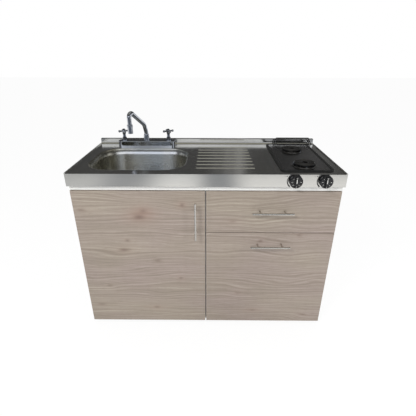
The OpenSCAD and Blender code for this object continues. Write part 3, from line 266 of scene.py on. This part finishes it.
def raw_board():
    """Bare chipboard: flakes of two sizes."""
    material, graph, shader = new_material("raw_board")
    place = graph.place()
    spread = graph.scaled(place, (180, 90, 200))
    flakes = graph.add("ShaderNodeTexVoronoi", {"Vector": spread, "Scale": 1.0}, "Color")
    fine = graph.noise(place, 500.0, 3.0)
    shades = [(0.0, srgb(168, 138, 98)), (0.5, srgb(196, 168, 126)), (1.0, srgb(214, 190, 150))]
    tone = graph.ramp(graph.axis(flakes, "X"), shades)
    graph.feed(shader.inputs["Base Color"], graph.mix(0.25, tone, srgb(150, 120, 84)))
    graph.feed(shader.inputs["Normal"], graph.bump(fine, 0.4, 0.0003))
    shader.inputs["Roughness"].default_value = 0.85
    return material


# Knots in the decor: place along X and Z, size along X and Z, and how dark and how red each one is
KNOTS = (
    (-0.561, 0.673, 0.020, 0.008, 0.55, 0.1),
    (-0.303, 0.639, 0.026, 0.013, 0.75, 0.6),
    (-0.282, 0.669, 0.018, 0.010, 0.50, 0.6),
    (-0.105, 0.700, 0.010, 0.008, 0.60, 0.5),
    (-0.368, 0.515, 0.010, 0.006, 0.60, 0.1),
    (-0.390, 0.462, 0.024, 0.010, 0.70, 0.2),
    (-0.231, 0.403, 0.016, 0.010, 0.50, 0.0),
    (-0.123, 0.299, 0.010, 0.007, 0.50, 0.2),
    (-0.255, 0.112, 0.018, 0.006, 0.60, 0.3),
    (-0.541, 0.129, 0.018, 0.006, 0.50, 0.1),
    (-0.484, 0.253, 0.012, 0.008, 0.40, 0.0),
    (0.123, 0.619, 0.016, 0.006, 0.40, 0.2),
    (0.257, 0.516, 0.010, 0.008, 0.60, 0.1),
    (0.436, 0.549, 0.012, 0.006, 0.50, 0.1),
    (0.159, 0.207, 0.014, 0.007, 0.35, 0.1),
    (0.242, 0.096, 0.018, 0.006, 0.45, 0.3),
    (0.508, 0.067, 0.016, 0.006, 0.45, 0.1),
)


# How fast a knot's pull, eye and blush fade with distance, and how far it pushes the rings
KNOT_REACH = 0.16
KNOT_PUSH = -0.55
EYE_FADE = 1.0
BLUSH_FADE = 0.12
# Rings to a metre, and how far they wander
RING_SCALE = 95.0
RING_WANDER = 0.16


def falloff(graph, square, rate):
    """A bell curve over the square of a distance."""
    return graph.maths("POWER", 2.718, graph.maths("MULTIPLY", square, -rate))


def oak_laminate():
    """Printed oak decor with its grain level: boards of slow tone, rings that bow round knots, and pores."""
    material, graph, shader = new_material("oak_laminate")
    place = graph.place()
    x = graph.axis(place, "X")
    z = graph.axis(place, "Z")

    # Each knot pushes the rings aside and leaves a dark eye
    bow = 0.0
    eyes = 0.0
    red = 0.0
    for knot_x, knot_z, wide, tall, dark, warm in KNOTS:
        along = graph.maths("DIVIDE", graph.maths("SUBTRACT", x, knot_x), wide)
        across = graph.maths("DIVIDE", graph.maths("SUBTRACT", z, knot_z), tall)
        square = graph.maths("MULTIPLY_ADD", along, along, c=graph.maths("MULTIPLY", across, across))
        reach = graph.maths("ADD", graph.maths("MULTIPLY", square, KNOT_REACH), 1.0)
        near = graph.maths("DIVIDE", 1.0, reach)
        push = graph.maths("MULTIPLY", graph.maths("MULTIPLY", near, near), across)
        bow = graph.maths("ADD", bow, graph.maths("MULTIPLY", push, KNOT_PUSH * tall))
        eye = graph.maths("MULTIPLY", falloff(graph, square, EYE_FADE), dark)
        eyes = graph.maths("ADD", eyes, eye)
        blush = graph.maths("MULTIPLY", falloff(graph, square, BLUSH_FADE), warm)
        red = graph.maths("ADD", red, blush)

    bent = graph.add("ShaderNodeCombineXYZ", {"X": x, "Y": 0.0, "Z": graph.maths("ADD", z, bow)})
    wander = graph.noise(graph.scaled(bent, (1.6, 1, 5.0)), 1.0, 2.0, 0.5)
    wandered = graph.maths("MULTIPLY", wander, RING_WANDER)
    rings_at = graph.maths("ADD", graph.axis(bent, "Z"), wandered)
    rings_in = graph.add("ShaderNodeCombineXYZ", {"X": 0.0, "Y": 0.0, "Z": rings_at})
    rings = graph.noise(rings_in, RING_SCALE, 3.0, 0.65)
    boards = graph.noise(graph.scaled(bent, (0.9, 1, 7.0)), 1.0, 3.0, 0.55)
    hue = graph.noise(graph.scaled(bent, (2.6, 1, 5.0), (3.0, 0, 1.0)), 1.0, 1.0)
    pores = graph.noise(graph.scaled(bent, (26, 1, 900)), 1.0, 2.0, 0.6)
    shade = graph.noise(graph.scaled(bent, (5, 1, 120)), 1.0, 4.0, 0.6)

    shades = [(0.25, srgb(152, 142, 130)), (0.5, srgb(170, 159, 146)), (0.75, srgb(184, 174, 159))]
    base = graph.ramp(boards, shades)
    tinted = graph.mix(graph.ramp(hue, [(0.35, 0.0), (0.65, 1.0)]), base, srgb(168, 154, 147))
    ringed = graph.mix(graph.ramp(rings, [(0.40, 0.62), (0.58, 0.0)]), tinted, srgb(126, 113, 101))
    grained = graph.mix(graph.ramp(shade, [(0.35, 0.52), (0.62, 0.0)]), ringed, srgb(134, 123, 111))
    pored = graph.mix(graph.ramp(pores, [(0.30, 0.7), (0.42, 0.0)]), grained, srgb(118, 105, 93))
    blushed = graph.mix(graph.maths("MULTIPLY", red, 0.45, True), pored, srgb(156, 124, 111))
    knotted = graph.mix(graph.maths("MULTIPLY", eyes, 0.85, True), blushed, srgb(104, 84, 74))
    graph.feed(shader.inputs["Base Color"], knotted)
    graph.feed(shader.inputs["Roughness"], graph.ramp(shade, [(0.3, 0.58), (0.7, 0.48)]))
    relief = graph.mix(0.5, graph.ramp(pores, [(0.28, 0.0), (0.45, 1.0)]), shade)
    graph.feed(shader.inputs["Normal"], graph.bump(relief, 0.25, 0.00012))
    return material


# ---------------------------------------------------------------- finishes of the record's slots

FINISHES = {
    "worktop_steel": steel("worktop_steel", (0.74, 0.725, 0.68), 0.13),
    "hob_steel": steel("hob_steel", (0.30, 0.29, 0.28), 0.16),
    "satin_steel": steel("satin_steel", (0.66, 0.63, 0.58), 0.24, (900, 900, 3), 0.08),
    "chrome": chrome_plate("chrome", (0.52, 0.54, 0.58), (0.42, 0.44, 0.48), 0.03),
    "dark_chrome": chrome_plate("dark_chrome", (0.20, 0.19, 0.18), (0.12, 0.11, 0.10), 0.14),
    "black_wire": enamel("black_wire", (0.008, 0.008, 0.009), 0.30, 0.2),
    "zinc": zinc_plate(),
    "seal": plastic("seal", (0.010, 0.010, 0.010), 0.55, 0.3, 500.0),
    "enamel": enamel("enamel", (0.012, 0.012, 0.013), 0.25, 0.6),
    "element": enamel("element", (0.016, 0.015, 0.014), 0.45, 0.3),
    "ceramic": plastic("ceramic", (0.72, 0.69, 0.62), 0.25, 0.1, 300.0),
    "black_plastic": plastic("black_plastic", (0.018, 0.018, 0.018), 0.5),
    "knob_plastic": plastic("knob_plastic", (0.006, 0.006, 0.007), 0.16, 0.05),
    "white_board": white_board(),
    "clear_plastic": plastic("clear_plastic", (0.70, 0.70, 0.68), 0.3, 0.1),
    "oak_laminate": oak_laminate(),
    "raw_board": raw_board(),
}
# Painted reflections on the bowl along X: a dark painted reflection at its left end, painted bright bands
# beside a cool middle, and a duller painted tone at its right end
BOWL_PAINTED_REFLECTIONS = (
    (-0.545, (0.34, 0.32, 0.25)),
    (-0.500, (0.52, 0.49, 0.40)),
    (-0.465, (0.97, 0.96, 0.92)),
    (-0.410, 1.0),
    (-0.370, (0.93, 0.96, 1.0)),
    (-0.250, (0.93, 0.96, 1.0)),
    (-0.225, 1.0),
    (-0.170, 1.0),
    (-0.145, (0.80, 0.80, 0.76)),
    (-0.110, (0.66, 0.66, 0.60)),
)
# White steel for the bowl, with the painted reflections of the table above multiplied on along X
BOWL_STEEL_PAINTED_REFLECTIONS = steel(
    "bowl_steel_painted_reflections", (1.0, 1.0, 1.0), 0.24, streak=0.04, patch=0.04, relief=0.00016, stops=BOWL_PAINTED_REFLECTIONS
)
WHITE_PRINT = plastic("white_print", srgb(238, 238, 232), 0.4, 0.05)
BLACK_PRINT = plastic("black_print", srgb(26, 26, 27), 0.4, 0.05)
for part in frame["record"]["subparts"]:
    mesh = cad[part["node"]].data
    mesh.materials.clear()
    mesh.materials.append(FINISHES[part["material_slot"]])


def soften(names, width, segments=3):
    """Rounds the sharp edges of CAD pieces, so that they catch light."""
    for name in names:
        rounding = cad[name].modifiers.new("rounding", "BEVEL")
        rounding.width = width
        rounding.segments = segments
        rounding.limit_method = "ANGLE"
        rounding.angle_limit = math.radians(35)
        rounding.harden_normals = True


soften(["worktop"], 0.0014)
soften(["left_door", "top_drawer_front", "lower_drawer_front", "front_rail"], 0.0008)
soften(["front_burner_knob", "rear_burner_knob", "hob_gasket"], 0.0008)


# ---------------------------------------------------------------- fine pieces


def make_piece(name, vertices, faces, material, body, smooth=True):
    """Turns vertices and faces into a piece that rides on a body."""
    mesh = bpy.data.meshes.new(name)
    mesh.from_pydata([tuple(v) for v in vertices], [], faces)
    mesh.update()
    work = bmesh.new()
    work.from_mesh(mesh)
    bmesh.ops.remove_doubles(work, verts=work.verts, dist=1e-6)
    bmesh.ops.recalc_face_normals(work, faces=work.faces)
    work.to_mesh(mesh)
    work.free()
    for polygon in mesh.polygons:
        polygon.use_smooth = smooth
    piece = bpy.data.objects.new(name, mesh)
    bpy.context.scene.collection.objects.link(piece)
    mesh.materials.append(material)
    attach(piece, body)
    return piece


def loft(rings, closed):
    """Faces between rings of equal count, and back to the first ring where the loft is closed."""
    count = len(rings[0])
    vertices = [v for ring in rings for v in ring]
    faces = []
    for i in range(len(rings) if closed else len(rings) - 1):
        j = (i + 1) % len(rings)
        for k in range(count):
            m = (k + 1) % count
            faces.append((i * count + k, i * count + m, j * count + m, j * count + k))
    return vertices, faces


def rounded_outline(half_w, half_d, radius, per_corner=20, per_side=10):
    """Points round a rectangle with round corners, evenly laid along its corners and sides."""
    points = []
    corners = ((1, 1, 0), (-1, 1, 90), (-1, -1, 180), (1, -1, 270))
    for sx, sy, start in corners:
        centre = Vector((sx * (half_w - radius), sy * (half_d - radius)))
        for i in range(per_corner + 1):
            angle = math.radians(start + 90 * i / per_corner)
            points.append(centre + radius * Vector((math.cos(angle), math.sin(angle))))
    full = []
    for i, point in enumerate(points):
        full.append(point)
        if i % (per_corner + 1) == per_corner:
            after = points[(i + 1) % len(points)]
            full.extend(point.lerp(after, j / per_side) for j in range(1, per_side))
    return full


# The bowl: flange under the deck, radius in plan, lip radius, lean of the wall, floor radius and sheet
BOWL_FLANGE = 0.008
BOWL_CORNER = 0.110
BOWL_LIP = 0.005
BOWL_LEAN = 0.004
BOWL_FOOT = 0.030
BOWL_SHEET = 0.0011
WASTE_R = 0.045
# The steel deck over the bowl's flange, the recess of the waste in the floor, and the floor's fall
DECK_SHEET = 0.0012
WASTE_RECESS = 0.0016
FLOOR_FALL = 0.0015
# Clearance that keeps two faces from lying in one plane
HAIR = 0.0001
# Rings of the outer shell that stay under the lip, where the flange takes over
LIP_RINGS = 5


def pressed_bowl():
    """Bowl with a rolled lip, walls that lean in, a wide floor radius and a fall to the waste."""
    low, high = (Vector(c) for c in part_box("sink_bowl"))
    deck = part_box("sink_bowl")[1][2] + DECK_SHEET
    floor = Vector(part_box("strainer_body")[1])[2] - WASTE_RECESS
    middle = (low + high) / 2
    half_w, half_d = (high[0] - low[0]) / 2 - BOWL_FLANGE, (high[1] - low[1]) / 2 - BOWL_FLANGE
    # Each step is how far in from the rim, and how high
    steps = [(-0.0004, deck + HAIR)]
    for turn in (math.radians(15 * i) for i in range(1, 7)):
        steps.append((BOWL_LIP * math.sin(turn), deck - BOWL_LIP * (1 - math.cos(turn))))
    wall_low = floor + FLOOR_FALL + BOWL_FOOT
    for t in (0.25, 0.5, 0.75, 1.0):
        steps.append((BOWL_LIP + BOWL_LEAN * t, (deck - BOWL_LIP) * (1 - t) + wall_low * t))
    for turn in (math.radians(10 * i) for i in range(1, 10)):
        inset = BOWL_LIP + BOWL_LEAN + BOWL_FOOT * (1 - math.cos(turn))
        steps.append((inset, wall_low - BOWL_FOOT * math.sin(turn)))
    rings = []
    for inset, z in steps:
        outline = rounded_outline(half_w - inset, half_d - inset, BOWL_CORNER - inset)
        rings.append([Vector((middle[0] + p[0], middle[1] + p[1], z)) for p in outline])
    rim = rings[-1]
    hole = []
    for point in rim:
        away = (point - Vector((middle[0], middle[1], point[2]))).normalized()
        hole.append(Vector((middle[0] + WASTE_R * away[0], middle[1] + WASTE_R * away[1], floor)))
    for t in (0.12, 0.3, 0.5, 0.7, 0.88, 1.0):
        rings.append([a.lerp(b, t) for a, b in zip(rim, hole)])
    outer = []
    for i, ring in enumerate(rings):
        before, after = rings[max(i - 1, 0)], rings[min(i + 1, len(rings) - 1)]
        shell = []
        for k, point in enumerate(ring):
            around = ring[(k + 1) % len(ring)] - ring[k - 1]
            down = after[k] - before[k]
            out = around.cross(down).normalized()
            shell.append(point + BOWL_SHEET * (out if out[2] < 0.2 else -out))
        outer.append(shell)
    flange_out = [
        Vector((middle[0] + p[0], middle[1] + p[1], high[2] - HAIR))
        for p in rounded_outline(half_w + BOWL_FLANGE, half_d + BOWL_FLANGE, BOWL_CORNER + BOWL_FLANGE)
    ]
    flange_low = [p - Vector((0, 0, BOWL_SHEET)) for p in flange_out]
    shell = rings + outer[::-1][:-LIP_RINGS] + [flange_low, flange_out]
    vertices, faces = loft(shell, True)
    piece = make_piece("pressed_bowl", vertices, faces, BOWL_STEEL_PAINTED_REFLECTIONS, "cabinet")
    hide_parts("sink_bowl")


# Strokes of the numbers 0 to 6, in a cell 0.6 wide and 1 high
DIGITS = (
    [[(0.02, 0.2), (0.02, 0.8), (0.16, 0.98), (0.44, 0.98), (0.58, 0.8), (0.58, 0.2), (0.44, 0.02),
      (0.16, 0.02), (0.02, 0.2)]],
    [[(0.1, 0.76), (0.34, 0.98), (0.34, 0.02)]],
    [[(0.02, 0.8), (0.16, 0.98), (0.44, 0.98), (0.58, 0.8), (0.56, 0.58), (0.04, 0.02), (0.6, 0.02)]],
    [[(0.04, 0.86), (0.2, 0.98), (0.44, 0.98), (0.56, 0.82), (0.52, 0.62), (0.3, 0.54)],
     [(0.3, 0.54), (0.54, 0.44), (0.58, 0.2), (0.44, 0.02), (0.18, 0.02), (0.02, 0.14)]],
    [[(0.44, 0.0), (0.44, 0.98), (0.02, 0.3), (0.62, 0.3)]],
    [[(0.56, 0.98), (0.08, 0.98), (0.04, 0.56), (0.34, 0.6), (0.56, 0.46), (0.58, 0.2), (0.42, 0.02),
      (0.02, 0.08)]],
    [[(0.5, 0.98), (0.16, 0.74), (0.02, 0.4), (0.04, 0.16), (0.2, 0.02), (0.44, 0.02), (0.58, 0.18),
      (0.56, 0.42), (0.4, 0.54), (0.16, 0.5), (0.03, 0.34)]],
)


# Thickness of the print
PRINT = 0.00008
# The knob: depth of its grip in front of the skirt, the circle its numbers stand on, and their size
KNOB_GRIP = 0.007
NUMBERS_R = 0.0185
NUMBER_TALL = 0.0056
NUMBER_LINE = 0.0005
NUMBER_STEP = 45
# Numbers that stand on the grip, which runs across the skirt
ON_GRIP = (0, 4)
POINTER_LINE = 0.0022
POINTER_FROM, POINTER_TO = -0.004, 0.0125
# The growing arc on the apron: radius, turn at each end, width at each end and steps
SCALE_R = 0.0345
SCALE_TURNS = (158, 232)
SCALE_WIDTHS = (0.0016, 0.0068)
SCALE_STEPS = 24
# The two dots: place beside the knob and width of the line that makes each
DOTS = (((-0.046, 0.019), 0.0006), ((-0.037, 0.019), 0.0016))
DOT_R = 0.0016
DOT_STEPS = 20


def ribbon(path, widths, front):
    """Vertices and faces of a thin printed line in the plane of the apron, proud towards the front."""
    points = [Vector(p) for p in path]
    vertices = []
    for i, point in enumerate(points):
        before, after = points[max(i - 1, 0)], points[min(i + 1, len(points) - 1)]
        along = (after - before).normalized()
        out = Vector((-along[1], along[0]))
        half = widths[i] / 2
        for edge in (point + half * out, point - half * out):
            vertices.append(Vector((edge[0], front - PRINT, edge[1])))
            vertices.append(Vector((edge[0], front, edge[1])))
    faces = [(0, 1, 3, 2)]
    for i in range(len(points) - 1):
        a, b = 4 * i, 4 * i + 4
        faces += [(a, b, b + 1, a + 1), (a + 2, a + 3, b + 3, b + 2)]
        faces += [(a, a + 2, b + 2, b), (a + 1, b + 1, b + 3, a + 3)]
    last = 4 * (len(points) - 1)
    faces.append((last, last + 2, last + 3, last + 1))
    return vertices, faces


def print_lines(name, lines, material, body):
    """One piece from several printed lines, each a path, its widths and the surface it lies on."""
    vertices, faces = [], []
    for path, widths, front in lines:
        more, sides = ribbon(path, widths, front)
        faces += [tuple(k + len(vertices) for k in face) for face in sides]
        vertices += more
    return make_piece(name, vertices, faces, material, body, smooth=False)


def arc(centre, radius, start, end, count):
    """Points on an arc round a centre, in degrees from the right and up."""
    turns = [math.radians(start + (end - start) * i / count) for i in range(count + 1)]
    return [(centre[0] + radius * math.cos(t), centre[1] + radius * math.sin(t)) for t in turns]


def knob_marks(node, body):
    """Numbers 0 to 6 and a pointer on a knob, and on the apron the growing arc and two dots beside it."""
    low, high = (Vector(c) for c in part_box(node))
    centre = ((low[0] + high[0]) / 2, (low[2] + high[2]) / 2)
    skirt, grip, apron = low[1] + KNOB_GRIP, low[1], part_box("worktop")[0][1]
    lines = []
    for number, paths in enumerate(DIGITS):
        turn = math.radians(90 + NUMBER_STEP * number)
        middle = Vector((centre[0] + NUMBERS_R * math.cos(turn), centre[1] + NUMBERS_R * math.sin(turn)))
        spin = Matrix.Rotation(turn - math.pi / 2, 2)
        front = grip if number in ON_GRIP else skirt
        for path in paths:
            placed = [middle + spin @ (Vector((u - 0.3, v - 0.5)) * NUMBER_TALL) for u, v in path]
            lines.append((placed, [NUMBER_LINE] * len(placed), front))
    pointer = [(centre[0], centre[1] + POINTER_FROM), (centre[0], centre[1] + POINTER_TO)]
    lines.append((pointer, [POINTER_LINE, POINTER_LINE], grip))
    print_lines(node + "_numbers", lines, WHITE_PRINT, body)
    narrow, wide = SCALE_WIDTHS
    widths = [narrow + (wide - narrow) * i / SCALE_STEPS for i in range(SCALE_STEPS + 1)]
    lines = [(arc(centre, SCALE_R, *SCALE_TURNS, SCALE_STEPS), widths, apron)]
    for dot, line in DOTS:
        middle = (centre[0] + dot[0], centre[1] + dot[1])
        lines.append((arc(middle, DOT_R, 0, 360, DOT_STEPS), [line] * (DOT_STEPS + 1), apron))
    print_lines(node + "_scale", lines, BLACK_PRINT, "cabinet")


pressed_bowl()
knob_marks("front_burner_knob", "front_knob")
knob_marks("rear_burner_knob", "rear_knob")

# ---------------------------------------------------------------- studio

FLOOR_SPAN = 40.0
FLOOR_SHOWN = 0.86
FLOOR_GLOW = 1.03
FLOOR_FAR = (0.08, 0.10, 0.13)
ROOM_LEVEL = 0.72
ROOM_DARK = 0.06
WINDOW = (0.96, 1.00, 1.08)
OVERHEAD = (0.42, 0.42, 0.38)
# Bands are given as middle, half width and level. Pale bands behind the unit, by how far round they are
# from straight back
REAR_BANDS = ((0.015, 0.012, 0.06), (0.052, 0.012, 0.14), (0.088, 0.014, 0.24), (0.30, 0.05, 0.05))
# Darker bands in the window, in the same way
WINDOW_BANDS = ((-0.19, 0.05, 0.45), (0.10, 0.03, 0.3), (0.72, 0.16, 1.0), (-0.85, 0.12, 1.0))
# Darker bands on the floor in front, as metal sees it, by their place along X
FLOOR_BANDS = ((-0.92, 0.30, 0.74), (0.12, 0.20, 0.86), (-1.70, 0.40, 0.42))
# Lamps: place, size and power; each faces the middle of the unit
LAMPS = {
    "key": ((-1.5, -2.4, 2.7), (0.9, 0.7), 50),
    "fill": ((2.2, -1.8, 1.9), (0.7, 0.7), 22),
}
LAMP_TARGET = (0, 0, 0.6)
# The photograph's viewpoint, fitted to the corners of the unit
CAMERA_PLACE = (0.0203, -1.5636, 1.3084)
CAMERA_PITCH, CAMERA_YAW, CAMERA_ROLL = math.radians(25.288), math.radians(-0.4146), math.radians(0.0863)
CAMERA_LENS = 28.19
CAMERA_NEAR = 0.05


def band(graph, value, middle, half, level):
    """A soft band of light where the value is near the middle."""
    off = graph.maths("ABSOLUTE", graph.maths("SUBTRACT", value, middle))
    edge = graph.maths("SUBTRACT", 1.0, graph.maths("DIVIDE", off, 2 * half), True)
    return graph.maths("MULTIPLY", graph.ramp(edge, [(0.25, 0.0), (0.75, 1.0)]), level)


def bands(graph, value, rows):
    """The sum of several soft bands, at most 1."""
    total = 0.0
    for middle, half, level in rows:
        total = graph.maths("ADD", total, band(graph, value, middle, half, level), True)
    return total


def build_world():
    """White to the camera; metals see a white backdrop low behind, a dim room, a window and a ceiling."""
    world = bpy.data.worlds.new("studio")
    bpy.context.scene.world = world
    world.use_nodes = True
    graph = Graph(world.node_tree)
    ray = graph.add("ShaderNodeTexCoord", output="Generated")
    side, back, up = (graph.axis(ray, name) for name in "XYZ")
    rear = graph.mix(bands(graph, side, REAR_BANDS), ROOM_DARK, 1.0)
    rear = graph.mix(graph.ramp(up, [(0.07, 0.0), (0.12, 1.0)]), 1.0, rear)
    pane = graph.mix(bands(graph, side, WINDOW_BANDS), WINDOW, ROOM_DARK)
    front = graph.mix(graph.ramp(up, [(0.06, 0.0), (0.10, 1.0), (0.40, 1.0), (0.50, 0.0)]), ROOM_DARK, pane)
    walls = graph.mix(graph.ramp(back, [(0.0, 0.0), (0.05, 1.0)]), front, rear)
    room = graph.mix(graph.ramp(up, [(0.72, 0.0), (0.86, 1.0)]), walls, OVERHEAD)
    shown = graph.add("ShaderNodeBackground", {"Color": room, "Strength": 1.0})
    even = graph.add("ShaderNodeBackground", {"Color": (1, 1, 1, 1), "Strength": ROOM_LEVEL})
    white = graph.add("ShaderNodeBackground", {"Color": (1, 1, 1, 1), "Strength": 1.0})
    path = graph.add("ShaderNodeLightPath", output="Is Camera Ray").node
    mirrored = graph.maths("ADD", path.outputs["Is Glossy Ray"], path.outputs["Is Transmission Ray"], True)
    mixed = graph.add("ShaderNodeMixShader", {0: mirrored, 1: even, 2: shown})
    mixed = graph.add("ShaderNodeMixShader", {0: path.outputs["Is Camera Ray"], 1: mixed, 2: white})
    graph.add("ShaderNodeOutputWorld", {"Surface": mixed})


def build_floor():
    """Pale floor that shows white to the camera and in metal, and keeps the unit's soft shadow."""
    mesh = bpy.data.meshes.new("floor")
    half = FLOOR_SPAN / 2
    corners = [(-half, -half, 0), (half, -half, 0), (half, half, 0), (-half, half, 0)]
    mesh.from_pydata(corners, [], [(0, 1, 2, 3)])
    floor = bpy.data.objects.new("floor", mesh)
    bpy.context.scene.collection.objects.link(floor)
    material = bpy.data.materials.new("floor")
    material.use_nodes = True
    graph = Graph(material.node_tree)
    matt = graph.add("ShaderNodeBsdfDiffuse", {"Color": (0.86, 0.86, 0.86, 1)})
    path = graph.add("ShaderNodeLightPath", output="Is Camera Ray").node
    place = graph.place()
    banded = graph.mix(bands(graph, graph.axis(place, "X"), FLOOR_BANDS), 1.0, FLOOR_FAR)
    ahead = graph.maths("MULTIPLY", graph.axis(place, "Y"), -0.2)
    mirrored = graph.mix(graph.ramp(ahead, [(0.54, 0.0), (0.60, 1.0)]), banded, FLOOR_FAR)
    seen = graph.mix(path.outputs["Is Glossy Ray"], 1.0, mirrored)
    glow = graph.add("ShaderNodeEmission", {"Color": seen, "Strength": FLOOR_GLOW})
    direct = graph.maths("ADD", path.outputs["Is Camera Ray"], path.outputs["Is Glossy Ray"], True)
    share = graph.maths("MULTIPLY", direct, FLOOR_SHOWN)
    surface = graph.add("ShaderNodeMixShader", {0: share, 1: matt, 2: glow})
    graph.add("ShaderNodeOutputMaterial", {"Surface": surface})
    mesh.materials.append(material)


def softbox(name, place, size, power):
    """A large lamp that faces the unit and doesn't show in metal."""
    light = bpy.data.lights.new(name, "AREA")
    light.shape = "RECTANGLE"
    light.size, light.size_y = size
    light.energy = power
    lamp = bpy.data.objects.new(name, light)
    lamp.location = place
    lamp.visible_glossy = False
    facing = Vector(LAMP_TARGET) - Vector(place)
    lamp.rotation_euler = facing.to_track_quat("-Z", "Y").to_euler()
    bpy.context.scene.collection.objects.link(lamp)


def build_camera():
    """The photograph's viewpoint: a wide lens just above the front edge, looking down."""
    pitch, yaw, roll = CAMERA_PITCH, CAMERA_YAW, CAMERA_ROLL
    forward = Vector((math.sin(yaw) * math.cos(pitch), math.cos(yaw) * math.cos(pitch), -math.sin(pitch)))
    right = Vector((math.cos(yaw), -math.sin(yaw), 0))
    up = right.cross(forward)
    turned_right = math.cos(roll) * right + math.sin(roll) * up
    turned_up = math.cos(roll) * up - math.sin(roll) * right
    data = bpy.data.cameras.new("camera")
    data.lens = CAMERA_LENS
    data.clip_start = CAMERA_NEAR
    camera = bpy.data.objects.new("camera", data)
    rotation = Matrix((turned_right, turned_up, -forward)).transposed().to_4x4()
    camera.matrix_world = Matrix.Translation(CAMERA_PLACE) @ rotation
    bpy.context.scene.collection.objects.link(camera)
    bpy.context.scene.camera = camera


build_world()
build_floor()
for lamp_name, lamp_row in LAMPS.items():
    softbox(lamp_name, *lamp_row)
build_camera()
bpy.context.scene.view_settings.view_transform = "Standard"
